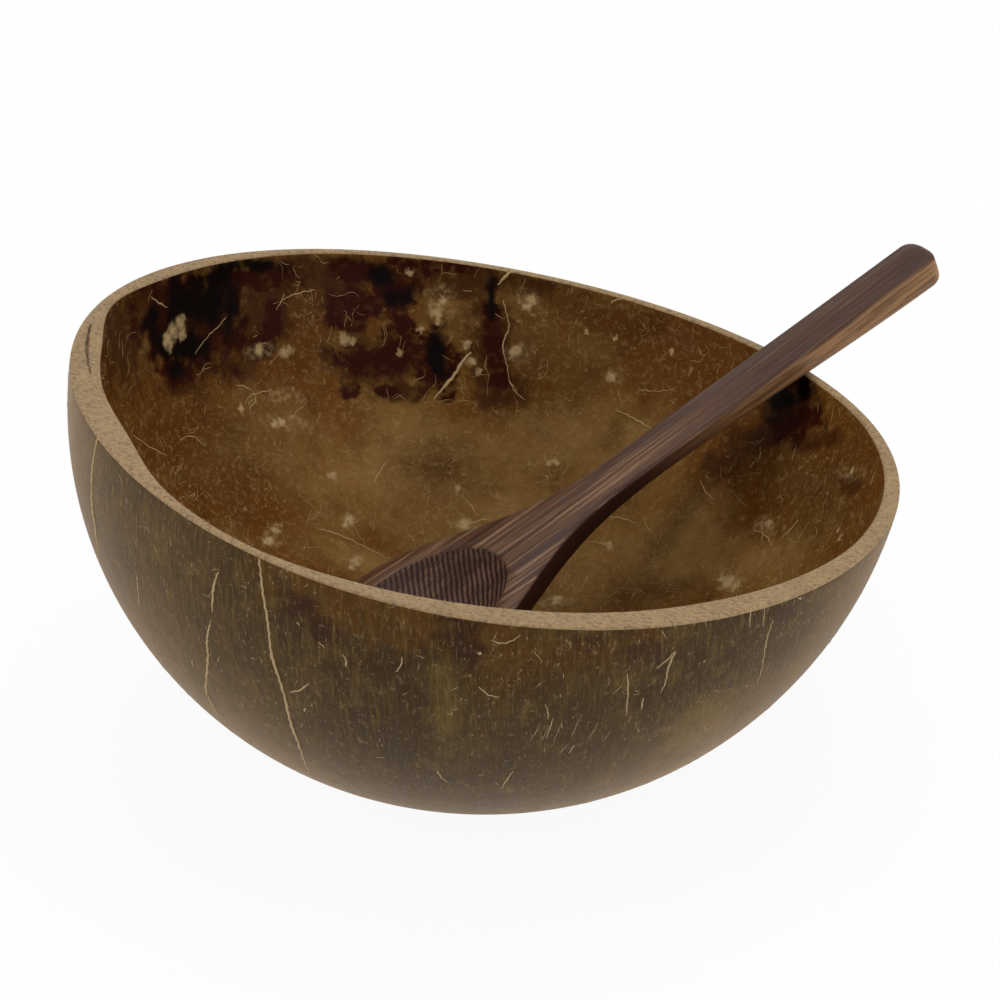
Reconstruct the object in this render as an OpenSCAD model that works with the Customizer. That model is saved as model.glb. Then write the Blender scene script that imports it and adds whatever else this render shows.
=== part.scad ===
// Coconut shell bowl with its wooden spoon.
// The bowl is the wall of an egg-shaped nut, cut open along a sloping, slightly bowed line and sanded
// flat underneath. The spoon leans in it: its tip is on the floor and its handle lies over the rim.
// The middle of the foot is the origin, +Z is up, the front is -Y and +X is to the right.

/* [Nut] */
// Length of the whole nut, which lies nearly front to back
nut_l = 146.6; // [120:0.1:175]
// Width of the whole nut
nut_w = 136; // [110:0.1:165]
// Height of the whole nut, before it is cut
nut_h = 130.4; // [110:0.1:160]
// How much the nut narrows towards its back end
taper_share = 0.022; // [0:0.001:0.08]
// Turn of the nut's long axis, anticlockwise from +X, in degrees
nut_turn = 76.9; // [60:0.1:120]
// Rise of the nut's long axis towards the back, in degrees
nut_tilt = 3.9; // [0:0.1:10]

/* [Wall] */
// Thickness of the shell away from the rim
wall = 3.4; // [2.4:0.1:5]
// Depth sanded off the nut to make the foot
foot_cut = 2.8; // [1:0.1:6]
// Thickness of the floor over the foot
floor_t = 3.2; // [2.4:0.1:6]
// Depth over which the wall goes from its thickness at the rim to its usual one
rim_blend = 14; // [6:0.5:25]
// Rounding of the rim's two edges
rim_round = 0.6; // [0.3:0.05:0.7]

/* [Cut] */
// Height of the cut over the middle of the bowl
cut_h = 57.4; // [45:0.1:70]
// How far the cut comes down from the middle to the right side
cut_drop_right = 12.1; // [0:0.1:20]
// How far the cut comes down from the middle to the back
cut_drop_back = 6.9; // [0:0.1:15]
// How far the cut bows up at the two sides
cut_bow_side = 2.9; // [-4:0.1:6]
// How far the cut bows down at the front and the back
cut_bow_end = 0.7; // [-4:0.1:4]
// How far the cut twists up at the back left and the front right
cut_twist = 1; // [-4:0.1:4]

/* [Spoon] */
// Length of the spoon
spoon_l = 134.6; // [115:0.5:145]
// Width of the scoop
scoop_w = 32.8; // [26:0.2:40]
// Length of the scoop's round end, from the tip to its widest place
scoop_end = 21; // [16:0.5:26]
// Thickness of the scoop at its deepest place
scoop_t = 10; // [8:0.1:12]
// Width of the hollow in the scoop
hollow_w = 25; // [18:0.2:28]
// Length of the hollow
hollow_l = 35.5; // [24:0.5:40]
// Width of the lip between the hollow and the tip
hollow_lip = 4; // [1.5:0.1:6]
// Depth of the hollow
hollow_d = 4.6; // [3:0.1:5.5]
// Width of the handle
handle_w = 8.3; // [7:0.1:11]
// Thickness of the handle where it is thinnest
handle_t = 3.7; // [2.8:0.1:5]
// Thickness of the handle at its end
handle_end_t = 6.1; // [3.8:0.1:8]
// Distance from the tip to where the handle reaches its own width
neck_x = 72.6; // [60:0.5:85]
// How far the middle of the spoon lies below its two ends
spoon_bow = 0.5; // [0:0.1:5]
// Rounding of the spoon's edges
spoon_round = 0.7; // [0.4:0.05:1]

/* [Place of the spoon] */
// Direction on the rim where the handle crosses it, anticlockwise from +X, in degrees
rest_turn = 36.7; // [20:0.1:70]
// Direction that the handle points, anticlockwise from +X, in degrees
spoon_turn = 31.9; // [20:0.1:60]
// Distance from the spoon's tip to where it crosses the rim
rest_x = 103.3; // [92:0.5:112]
// Room left between the spoon and the shell where it leans on it
seat_gap = 0.3; // [0.2:0.05:0.6]

/* [Hidden] */

shell_colour = "#5b4426";
spoon_colour = "#4b2c22";

// Thickness of the wall at the rim every 15 degrees, from +X anticlockwise, as shares of the usual wall
rim_wall_shares = [0.70, 0.58, 0.58, 0.62, 0.60, 0.55, 0.50, 0.50, 0.58, 0.76, 0.82, 0.61,
                   1.34, 1.48, 1.58, 0.74, 0.52, 1.02, 1.40, 1.48, 1.46, 1.20, 0.92, 0.82];

// Numbers of columns round the shell and of rows on each of its faces
shell_cols = 96;
outer_rows = 12;
inner_rows = 15;
round_rows = 3;
// Steps of each search for a place on a surface, and of each sum that comes closer step by step
search_steps = 32;
reach_steps = 6;
under_search_steps = 4;
// Rises and slopes between which the searches look, in degrees
foot_rises = [-90, -30];
top_rises = [-50, 50];
spoon_slopes = [5, 40];

// Axes of the nut: along it, to its right and up through it
axis_u = [cos(nut_tilt) * cos(nut_turn), cos(nut_tilt) * sin(nut_turn), sin(nut_tilt)];
axis_v = [sin(nut_turn), -cos(nut_turn), 0];
axis_w = cross(axis_v, axis_u);
half_u = nut_l / 2;
half_v = nut_w / 2;
half_w = nut_h / 2;

// Middle of the nut, set so that the foot's middle is the origin
nut_z = half_w - foot_cut;
lean_top = half_u * half_u * axis_u.z * axis_u + half_w * half_w * axis_w.z * axis_w;
nut_c = [lean_top.x / lean_top.z * nut_z, lean_top.y / lean_top.z * nut_z, nut_z];

function blend(a, b, s) = a + (b - a) * s;
function smooth(s) = let (t = min(1, max(0, s))) t * t * (3 - 2 * t);
function heading(turn, rise) = [cos(rise) * cos(turn), cos(rise) * sin(turn), sin(rise)];
function curve3(a, b, c, s) = blend(blend(a, b, s), blend(b, c, s), s);

// How far the nut's skin is from its middle in direction d
function skin_reach(d, far = 0, step = reach_steps) =
    let (
        a = d * axis_u / half_u,
        b = pow(d * axis_v / half_v, 2) + pow(d * axis_w / half_w, 2)
    )
    step == 0 ? far : skin_reach(d, 1 / sqrt(a * a + b / pow(1 - taper_share * far * a, 2)), step - 1);

function skin(turn, rise) = nut_c + heading(turn, rise) * skin_reach(heading(turn, rise));

// Steepness of the nut's own field at p, from which come its normal and depth below the skin
function field(p) =
    let (
        r = p - nut_c,
        x = r * axis_u / half_u,
        g = 1 - taper_share * x
    )
    x * x + (pow(r * axis_v / half_v, 2) + pow(r * axis_w / half_w, 2)) / (g * g);
function slope_of(p) =
    let (
        r = p - nut_c,
        x = r * axis_u / half_u,
        y = r * axis_v / half_v,
        z = r * axis_w / half_w,
        g = 1 - taper_share * x,
        along = 2 * (x + (y * y + z * z) * taper_share / pow(g, 3)) / half_u,
        across = 2 * y / half_v / (g * g),
        up = 2 * z / half_w / (g * g)
    )
    along * axis_u + across * axis_v + up * axis_w;
function normal_at(p) = slope_of(p) / norm(slope_of(p));
function depth_at(p) = let (f = sqrt(field(p))) (1 - f) * 2 * f / norm(slope_of(p));

// Height of the cut over a place in plan
function cut_z(p) =
    let (x = (p.x - nut_c.x) / half_v, y = (p.y - nut_c.y) / half_u)
    cut_h - cut_drop_right * x - cut_drop_back * y + cut_bow_side * x * x - cut_bow_end * y * y
    - cut_twist * x * y;

// Thickness of the wall at the rim in a direction, on a smooth curve through the shares
function share_at(i) = rim_wall_shares[(i + len(rim_wall_shares)) % len(rim_wall_shares)];
function rim_wall(turn) =
    let (
        at = turn / 360 * len(rim_wall_shares),
        i = floor(at),
        s = at - i,
        a = share_at(i - 1),
        b = share_at(i),
        c = share_at(i + 1),
        d = share_at(i + 2)
    )
    wall * (b + s * ((c - a) / 2 + s * ((2 * a - 5 * b + 4 * c - d) / 2 + s * (3 * b - 3 * c + d - a) / 2)));

// Rises, seen from the nut's middle, at which each face meets the foot or the cut
function foot_rise(turn, low = foot_rises[0], high = foot_rises[1], step = 0) =
    let (mid = (low + high) / 2)
    step == search_steps ? mid
    : skin(turn, mid).z < 0 ? foot_rise(turn, mid, high, step + 1) : foot_rise(turn, low, mid, step + 1);
function outer_top(turn, low = top_rises[0], high = top_rises[1], step = 0) =
    let (mid = (low + high) / 2, p = skin(turn, mid))
    step == search_steps ? mid
    : p.z < cut_z(p) ? outer_top(turn, mid, high, step + 1) : outer_top(turn, low, mid, step + 1);
function inset(turn, rise, t) = let (p = skin(turn, rise)) p - normal_at(p) * t;
function inner_top(turn, low = top_rises[0], high = top_rises[1], step = 0) =
    let (mid = (low + high) / 2, p = inset(turn, mid, rim_wall(turn)))
    step == search_steps ? mid
    : p.z < cut_z(p) ? inner_top(turn, mid, high, step + 1) : inner_top(turn, low, mid, step + 1);

// A place on the inner face: the wall is set in from the skin, and the floor levels it out
function floored(p) =
    let (over = p.z - floor_t)
    [p.x, p.y, floor_t + (over + sqrt(over * over + floor_t * floor_t)) / 2];
function inner_face(turn, top, rise) =
    let (
        fall = (top - rise) * half_w * PI / 180,
        t = blend(rim_wall(turn), wall, smooth(fall / rim_blend))
    )
    floored(inset(turn, rise, t));

// One column of the shell, from the foot up the outside, over the rim and down the inside
function shell_column(turn) =
    let (
        foot = foot_rise(turn),
        out_top = outer_top(turn),
        in_top = inner_top(turn),
        out_edge = skin(turn, out_top),
        in_edge = inner_face(turn, in_top, in_top),
        round_rise = rim_round / half_w * 180 / PI,
        across = (in_edge - out_edge) / norm(in_edge - out_edge) * rim_round,
        out_end = out_top - round_rise,
        in_end = in_top - round_rise
    )
    [
        for (i = [0 : outer_rows - 1])
            let (p = skin(turn, blend(foot, out_end, i / outer_rows))) i == 0 ? [p.x, p.y, 0] : p,
        for (i = [0 : round_rows])
            curve3(skin(turn, out_end), out_edge, out_edge + across, i / round_rows),
        for (i = [0 : round_rows])
            curve3(in_edge - across, in_edge, inner_face(turn, in_top, in_end), i / round_rows),
        for (i = [1 : inner_rows - 1])
            inner_face(turn, in_top, blend(in_end, -90, i / inner_rows))
    ];

module shell() {
    columns = [for (i = [0 : shell_cols - 1]) shell_column(i * 360 / shell_cols)];
    rows = len(columns[0]);
    pole = inner_face(0, inner_top(0), -90);
    points = [for (c = columns) each c, pole];
    faces = [
        [for (i = [0 : shell_cols - 1]) i * rows],
        for (i = [0 : shell_cols - 1], j = [0 : rows - 2])
            let (a = i * rows + j, b = (i + 1) % shell_cols * rows + j)
            each [[a, a + 1, b + 1], [a, b + 1, b]],
        for (i = [0 : shell_cols - 1])
            [(i + 1) * rows - 1, len(points) - 1, ((i + 1) % shell_cols + 1) * rows - 1]
    ];
    color(shell_colour) polyhedron(points, faces);
}

// The spoon lies along x from its tip, with its flat top near z = 0, until it is put in place
hollow_x = hollow_l / 2 + hollow_lip;

function spoon_half(x) =
    x < scoop_end ? scoop_w / 2 * sqrt(max(0, 1 - pow(1 - x / scoop_end, 2)))
    : x > neck_x ? handle_w / 2
    : blend(handle_w, scoop_w, pow((1 + cos(180 * (x - scoop_end) / (neck_x - scoop_end))) / 2, 2)) / 2;
function spoon_thick(x) =
    x < scoop_end ? blend(handle_t, scoop_t, sqrt(max(0, 1 - pow(1 - x / scoop_end, 2))))
    : x < neck_x ? blend(handle_t, scoop_t, (1 + cos(180 * (x - scoop_end) / (neck_x - scoop_end))) / 2)
    : blend(handle_t, handle_end_t, smooth((x - neck_x) / (spoon_l - neck_x)));
function spoon_top(x) = spoon_bow * (pow(2 * x / spoon_l - 1, 2) - 1);
function spoon_under(x) = spoon_top(x) - spoon_thick(x);
function hollow_fall(x, y) =
    hollow_d * max(0, 1 - pow((x - hollow_x) * 2 / hollow_l, 2) - pow(y * 2 / hollow_w, 2));
// Half-width of the hollow at x, or where it would be if the hollow ran on
function hollow_half(x) =
    max(spoon_half(x) * lip_share, hollow_w / 2 * sqrt(max(0, 1 - pow((x - hollow_x) * 2 / hollow_l, 2))));

// Least half-width of the strip that carries the hollow's rows, as a share of the spoon's
lip_share = 0.3;
// Places across the hollow, from its middle, as shares of its half-width
across_shares = [-1, -0.85, -0.6, -0.3, 0, 0.3, 0.6, 0.85, 1];
// Squareness of the section under the handle and under the scoop: a share of 1 is an ellipse
handle_square_share = 0.4;
scoop_square_share = 0.9;
// How far in and down the top's corner points lie, as a share of the edges' rounding
corner_share = 0.25;
under_steps = 14;
end_steps = 5;
scoop_steps = 9;
neck_steps = 16;
handle_steps = 10;

function power(a, p) = sign(a) * pow(abs(a), p);

// One section of the spoon at x, with its sides drawn in by trim and its faces by thin
function spoon_section(x, trim = 0, thin = 0) =
    let (
        half = max(spoon_round, spoon_half(x) - trim),
        top = spoon_top(x) - thin,
        deep = max(spoon_round, spoon_thick(x) - 2 * thin - spoon_round),
        square = blend(handle_square_share, scoop_square_share,
                       smooth((neck_x - x) / (neck_x - scoop_end))),
        lip = min(hollow_half(x), half - spoon_round),
        corner = spoon_round * corner_share
    )
    [
        for (i = [0 : under_steps])
            let (a = 180 * i / under_steps)
            [x, half * power(cos(a), square), top - spoon_round - deep * pow(sin(a), square)],
        [x, -half + corner, top - corner],
        for (s = across_shares) [x, s * lip, top - hollow_fall(x, s * lip)],
        [x, half - corner, top - corner]
    ];

// Length of the handle's rounded end, as a share of its width, and the sections from the tip to there
end_round_share = 0.333;
end_round = handle_w * end_round_share;
spoon_sections = [
    for (i = [1 : scoop_steps]) spoon_section(scoop_end * (1 - cos(90 * i / scoop_steps))),
    for (i = [1 : neck_steps]) spoon_section(blend(scoop_end, neck_x, i / neck_steps)),
    for (i = [1 : handle_steps]) spoon_section(blend(neck_x, spoon_l - end_round, i / handle_steps)),
    for (i = [1 : end_steps])
        let (a = 90 * i / end_steps)
        spoon_section(spoon_l - end_round * (1 - sin(a)), end_round * (1 - cos(a)),
                      spoon_round * (1 - cos(a)))
];

// Where the spoon lies, from the rim and the floor that it leans on
function rim_place(turn, s) =
    blend(skin(turn, outer_top(turn)), inset(turn, inner_top(turn), rim_wall(turn)), s);
rest = rim_place(rest_turn, 1);
ahead = [cos(spoon_turn), sin(spoon_turn), 0];
aside = [-sin(spoon_turn), cos(spoon_turn), 0];
// Directions on the rim under the handle, in degrees from its middle
rest_offsets = [-5, -4, -3, -2, -1, 0, 1, 2, 3, 4, 5];
rest_places = [
    for (t = rest_offsets, s = [0, 0.5, 1])
        let (p = rim_place(rest_turn + t, s))
        if (abs((p - rest) * aside) < handle_w / 2) p
];

// Distance along the plan from where the spoon crosses the rim
function plan_x(x, z, slope) =
    (x - rest_x) * cos(slope) - (z - spoon_under(rest_x)) * sin(slope);
// Place along the spoon whose underside is over a distance along the plan
function under_x(h, slope, x, step = under_search_steps) =
    step == 0 ? x
    : under_x(h, slope, rest_x + (h + (spoon_under(x) - spoon_under(rest_x)) * sin(slope)) / cos(slope),
              step - 1);
function under_z(h, slope) =
    let (x = under_x(h, slope, rest_x + h)) x * sin(slope) + spoon_under(x) * cos(slope);
// Height of the tip's own level that leaves the handle its gap over the rim
function spoon_z(slope) =
    max([for (p = rest_places) p.z - under_z((p - rest) * ahead, slope)]) + seat_gap / cos(slope);
function put(p, slope, z) =
    [rest.x, rest.y, z] + ahead * plan_x(p.x, p.z, slope) + aside * p.y
    + [0, 0, p.x * sin(slope) + p.z * cos(slope)];
// Height of a point of the scoop's underside over the inner face, near where they meet
function room_under(p) = p.z - floored([p.x, p.y, p.z - depth_at(p) + wall]).z;
scoop_points = [for (i = [0 : scoop_steps - 1]) each spoon_sections[i]];
function scoop_room(slope) =
    let (z = spoon_z(slope))
    min([for (p = scoop_points) room_under(put(p, slope, z))]);
function find_slope(low = spoon_slopes[0], high = spoon_slopes[1], step = 0) =
    let (mid = (low + high) / 2)
    step == search_steps ? mid
    : scoop_room(mid) > seat_gap ? find_slope(mid, high, step + 1) : find_slope(low, mid, step + 1);
spoon_slope = find_slope();
spoon_height = spoon_z(spoon_slope);

module spoon() {
    ring = len(spoon_sections[0]);
    last = len(spoon_sections) - 1;
    points = [for (s = spoon_sections) each [for (p = s) put(p, spoon_slope, spoon_height)]];
    faces = [
        [for (j = [ring - 1 : -1 : 0]) j],
        for (i = [0 : last - 1], j = [0 : ring - 1])
            let (a = i * ring + j, b = i * ring + (j + 1) % ring)
            each [[a, b + ring, a + ring], [a, b, b + ring]],
        [for (j = [0 : ring - 1]) last * ring + j]
    ];
    color(spoon_colour) polyhedron(points, faces);
}

shell();
spoon();
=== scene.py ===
"""Looks of a coconut shell bowl and its wooden spoon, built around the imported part.

Everything is in metres in the part's own frame: the middle of the bowl's foot is the origin, +Z is up,
the front is -Y and +X is to the right. Colours are written as sRGB values from 0 to 255.
"""

import math

import bpy
import numpy as np
from bpy.props import FloatProperty, FloatVectorProperty, IntProperty, PointerProperty
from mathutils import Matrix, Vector
from mathutils.bvhtree import BVHTree


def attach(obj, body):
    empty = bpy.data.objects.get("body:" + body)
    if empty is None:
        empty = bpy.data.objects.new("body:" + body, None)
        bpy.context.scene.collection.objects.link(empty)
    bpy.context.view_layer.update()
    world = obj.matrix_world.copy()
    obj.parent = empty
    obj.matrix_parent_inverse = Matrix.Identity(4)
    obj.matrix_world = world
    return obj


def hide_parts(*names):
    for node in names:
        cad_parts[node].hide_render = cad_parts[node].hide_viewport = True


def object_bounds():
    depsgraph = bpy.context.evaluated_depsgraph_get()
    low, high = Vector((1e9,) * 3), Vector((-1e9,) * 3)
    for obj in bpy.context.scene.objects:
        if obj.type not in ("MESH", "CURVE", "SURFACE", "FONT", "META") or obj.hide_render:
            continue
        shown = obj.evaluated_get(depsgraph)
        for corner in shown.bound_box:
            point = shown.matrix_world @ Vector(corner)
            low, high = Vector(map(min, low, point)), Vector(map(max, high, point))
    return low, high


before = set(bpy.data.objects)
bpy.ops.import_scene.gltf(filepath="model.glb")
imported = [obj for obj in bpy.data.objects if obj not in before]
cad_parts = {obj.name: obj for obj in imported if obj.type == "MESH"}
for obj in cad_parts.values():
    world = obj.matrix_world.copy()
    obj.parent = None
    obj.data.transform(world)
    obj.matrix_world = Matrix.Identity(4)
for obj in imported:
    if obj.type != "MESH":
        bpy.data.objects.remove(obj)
CAD_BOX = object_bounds()

bl_info = {
    "name": "Coconut shell bowl",
    "version": (1, 0, 0),
    "blender": (4, 5, 0),
    "location": "3D View > Sidebar > Coconut bowl",
    "description": "Builds a coconut shell bowl with its wooden spoon",
    "category": "Add Mesh",
}

MM = 0.001


def paint(red, green, blue):
    """Linear colour of an sRGB colour given from 0 to 255."""
    shares = (c / 255 for c in (red, green, blue))
    return tuple(c / 12.92 if c <= 0.04045 else ((c + 0.055) / 1.055) ** 2.4 for c in shares)


def length(name, description, millimetres):
    """A length property, shown in scene units."""
    return FloatProperty(
        name=name, description=description, default=millimetres * MM, unit="LENGTH", subtype="DISTANCE",
        precision=5,
    )


def angle(name, description, degrees):
    """An angle property, shown in degrees."""
    return FloatProperty(
        name=name, description=description, default=math.radians(degrees), unit="ROTATION", subtype="ANGLE"
    )


def share(name, description, value):
    """A plain number between 0 and 1."""
    return FloatProperty(
        name=name, description=description, default=value, min=0.0, max=1.0, subtype="FACTOR", precision=3
    )


def colour(name, description, red, green, blue):
    """A colour property."""
    return FloatVectorProperty(
        name=name, description=description, default=paint(red, green, blue), subtype="COLOR", min=0.0,
        max=1.0, size=3,
    )


class ShellSize(bpy.types.PropertyGroup):
    """Sizes of the nut, its wall and the cut that opens it."""

    nut_l: length("Nut length", "Length of the whole nut, nearly front to back", 146.6)
    nut_w: length("Nut width", "Width of the whole nut", 136)
    nut_h: length("Nut height", "Height of the whole nut before it is cut", 130.4)
    taper: share("Taper", "How much the nut narrows towards its back end", 0.022)
    nut_turn: angle("Nut turn", "Turn of the nut's long axis from +X", 76.9)
    nut_tilt: angle("Nut tilt", "Rise of the nut's long axis towards the back", 3.9)
    wall: length("Wall", "Thickness of the shell away from the rim", 3.4)
    foot_cut: length("Foot cut", "Depth sanded off the nut to make the foot", 2.8)
    floor_t: length("Floor", "Thickness of the floor over the foot", 3.2)
    rim_blend: length("Rim blend", "Depth over which the rim's thickness turns into the wall's", 14)
    rim_round: length("Rim rounding", "Rounding of the rim's two edges", 0.6)
    cut_h: length("Cut height", "Height of the cut over the middle", 57.4)
    drop_right: length("Drop to the right", "How far the cut comes down to the right side", 12.1)
    drop_back: length("Drop to the back", "How far the cut comes down to the back", 6.9)
    bow_side: length("Bow at the sides", "How far the cut bows up at the two sides", 2.9)
    bow_end: length("Bow at the ends", "How far the cut bows down at the front and back", 0.7)
    twist: length("Twist", "How far the cut twists up at the back left", 1)
    waves: length("Waves", "Depth of the slow waves that the shell's outside keeps from its growth", 0.12)


class SpoonSize(bpy.types.PropertyGroup):
    """Sizes of the spoon and where it leans."""

    spoon_l: length("Length", "Length of the spoon", 134.6)
    scoop_w: length("Scoop width", "Width of the scoop", 32.8)
    scoop_end: length("Round end", "Length of the scoop's round end", 21)
    scoop_t: length("Scoop thickness", "Thickness of the scoop at its deepest place", 10)
    hollow_w: length("Hollow width", "Width of the hollow in the scoop", 25)
    hollow_l: length("Hollow length", "Length of the hollow", 35.5)
    hollow_lip: length("Lip", "Width of the lip between the hollow and the tip", 4)
    hollow_d: length("Hollow depth", "Depth of the hollow", 4.6)
    handle_w: length("Handle width", "Width of the handle", 8.3)
    handle_t: length("Handle thickness", "Thickness of the handle where it is thinnest", 3.7)
    handle_end_t: length("End thickness", "Thickness of the handle at its end", 6.1)
    neck_x: length("Neck", "Distance from the tip to where the handle has its own width", 72.6)
    bow: length("Bow", "How far the spoon's middle lies below its ends", 0.5)
    edge: length("Edge rounding", "Rounding of the spoon's edges", 0.7)
    ridge: length("Ridge pitch", "Distance between the tool's ridges in the hollow", 0.95)
    ridge_d: length("Ridge depth", "Depth of the tool's ridges in the hollow", 0.11)
    rest_turn: angle("Rest direction", "Direction on the rim where the handle crosses it", 36.7)
    spoon_turn: angle("Handle direction", "Direction that the handle points in plan", 31.9)
    rest_x: length("Rest place", "Distance from the tip to where the spoon crosses the rim", 103.3)
    seat_gap: length("Seat gap", "Room left where the spoon leans on the shell", 0.3)


class FibreSize(bpy.types.PropertyGroup):
    """Sizes and numbers of the pale fibres that lie in the shell."""

    inside_density: FloatProperty(
        name="Inside fibres", description="Curly fibres on each square metre of the inside", default=75000)
    outside_density: FloatProperty(
        name="Outside ticks", description="Short ticks on each square metre of the outside", default=34000)
    inside_l: length("Inside length", "Length of the longest curly fibre", 4.6)
    outside_l: length("Outside length", "Length of the longest tick", 2.2)
    inside_girth: length("Inside girth", "Radius of a curly fibre at its middle", 0.055)
    outside_girth: length("Outside girth", "Radius of a tick at its middle", 0.06)
    inside_curl: length("Inside curl", "Range over which noise shifts a curly fibre", 6)
    outside_curl: length("Outside curl", "Range over which noise shifts a tick", 2.5)
    outside_lean: angle("Outside lean", "The most that a tick leans away from upright", 75)
    seed: IntProperty(name="Seed", description="Seed of the places of the fibres", default=11)


class ShellFinish(bpy.types.PropertyGroup):
    """Colours of the shell. Three of them also lay painted shade, as noted at them."""

    outside: colour("Outside", "Polished outside of the shell", 76, 56, 25)
    # Also lays the painted shade on the lower front of the outside
    outside_dark: colour("Outside dark", "Darker parts of the outside", 49, 34, 14)
    warm: colour("Warm brown", "Warm brown parts near the rim", 80, 49, 4)
    olive: colour("Olive", "Olive parts of the shell", 104, 82, 35)
    # Also lays the painted shade inside: the spoon's shadow and the band under the back of the rim
    umber: colour("Umber", "Soft dark brown stains", 58, 31, 8)
    red: colour("Dark red", "Dark red stains", 44, 11, 2)
    # Also lays the painted shadow under the handle
    black: colour("Black", "Nearly black stains", 7, 1, 0)
    orange: colour("Orange brown", "Orange-brown parts of the inside", 98, 57, 9)
    floor: colour("Floor brown", "Worn brown of the floor", 116, 83, 38)
    worn: colour("Worn brown", "Paler brown where the floor is worn most", 137, 104, 57)
    rim: colour("Rim", "Cut edge of the shell", 148, 120, 80)
    rim_dark: colour("Rim specks", "Darker grains in the cut edge", 108, 86, 58)
    fibre: colour("Fibre", "Pale fibres inside", 168, 138, 92)
    tick: colour("Tick", "Pale fibres outside", 168, 146, 112)
    spot: colour("Pale spot", "Pale rests of the coconut's flesh", 172, 146, 103)
    crack: colour("Crack", "Dark crack in the rim", 88, 66, 40)


class SpoonFinish(bpy.types.PropertyGroup):
    """Colours of the spoon's wood, and the painted shade on its cut side."""

    dark: colour("Dark fibres", "Dark fibres of the wood", 46, 25, 18)
    middle: colour("Wood", "Main brown of the wood", 104, 71, 49)
    light: colour("Light fibres", "Light fibres of the wood", 170, 138, 106)
    side: colour("Cut side", "Orange brown of the cut side near the end", 146, 108, 72)
    # Painted shade: the cut side darkened where it lies in the bowl
    shaded_side: colour("Dark side", "Dark red of the cut side near the scoop", 48, 21, 13)
    groove: colour("Groove", "Dark grooves between the ridges in the hollow", 44, 24, 18)
    crest: colour("Crest", "Paler crests of the ridges in the hollow", 118, 88, 70)


class StageSize(bpy.types.PropertyGroup):
    """The photograph's camera and the light."""

    aim: FloatVectorProperty(
        name="Aim", description="Place that the camera looks at", default=(0.003255, 0.003368, 0.040127),
        unit="LENGTH", subtype="XYZ", size=3)
    distance: length("Distance", "Distance from the camera to its aim", 582.96)
    elevation: angle("Elevation", "Height of the camera over the horizon", 30)
    focal: FloatProperty(name="Focal length", description="In pixels of the photograph", default=3501.42)
    middle_x: FloatProperty(name="Middle across", description="Optical middle, in pixels", default=513.168)
    middle_y: FloatProperty(name="Middle down", description="Optical middle, in pixels", default=501.387)
    sky: FloatProperty(name="Sky", description="Strength of the light from all round", default=0.5)
    key: FloatProperty(name="Key light", description="Power of the light overhead, in watts", default=5.0)
    fill: FloatProperty(name="Side light", description="Power of each light at the sides", default=3.0)


# Pixels across the photograph, and the sensor that goes with the focal length, in millimetres
PHOTO_SIZE = 1000
SENSOR = 36

# Thickness of the wall at the rim every 15 degrees from +X anticlockwise, as shares of the usual wall
RIM_WALL_SHARES = (
    0.70, 0.58, 0.58, 0.62, 0.60, 0.55, 0.50, 0.50, 0.58, 0.76, 0.82, 0.61,
    1.34, 1.48, 1.58, 0.74, 0.52, 1.02, 1.40, 1.48, 1.46, 1.20, 0.92, 0.82,
)

# Columns round the shell and rows on its faces
SHELL_COLS = 400
OUTER_ROWS = 92
ROUND_ROWS = 4
RIM_ROWS = 5
INNER_ROWS = 96
FOOT_ROWS = 4
# Rows over which the slow waves fade in from the foot and out below the rim
FOOT_FADE_ROWS = 6
RIM_FADE_ROWS = 10
# How often those waves repeat, for each turn round the nut and up it
OUTSIDE_WAVES = ((5, 3), (3, -7))
# Number of the material of each zone of the shell
SLOTS = {"outside": 0, "rim": 1, "inside": 2, "foot": 1}

# Halvings in a search, and rounds that settle the nut's tapered skin and the place under the handle
SEARCH_STEPS = 34
SKIN_STEPS = 7
HANDLE_STEPS = 4
# Rises and slopes between which the foot's edge, the rim and the spoon's lean are searched for
STRAIGHT_DOWN = math.radians(-90)
FOOT_RISES = (STRAIGHT_DOWN, math.radians(-30))
TOP_RISES = (math.radians(-50), math.radians(50))
SPOON_SLOPES = (math.radians(5), math.radians(40))
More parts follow.
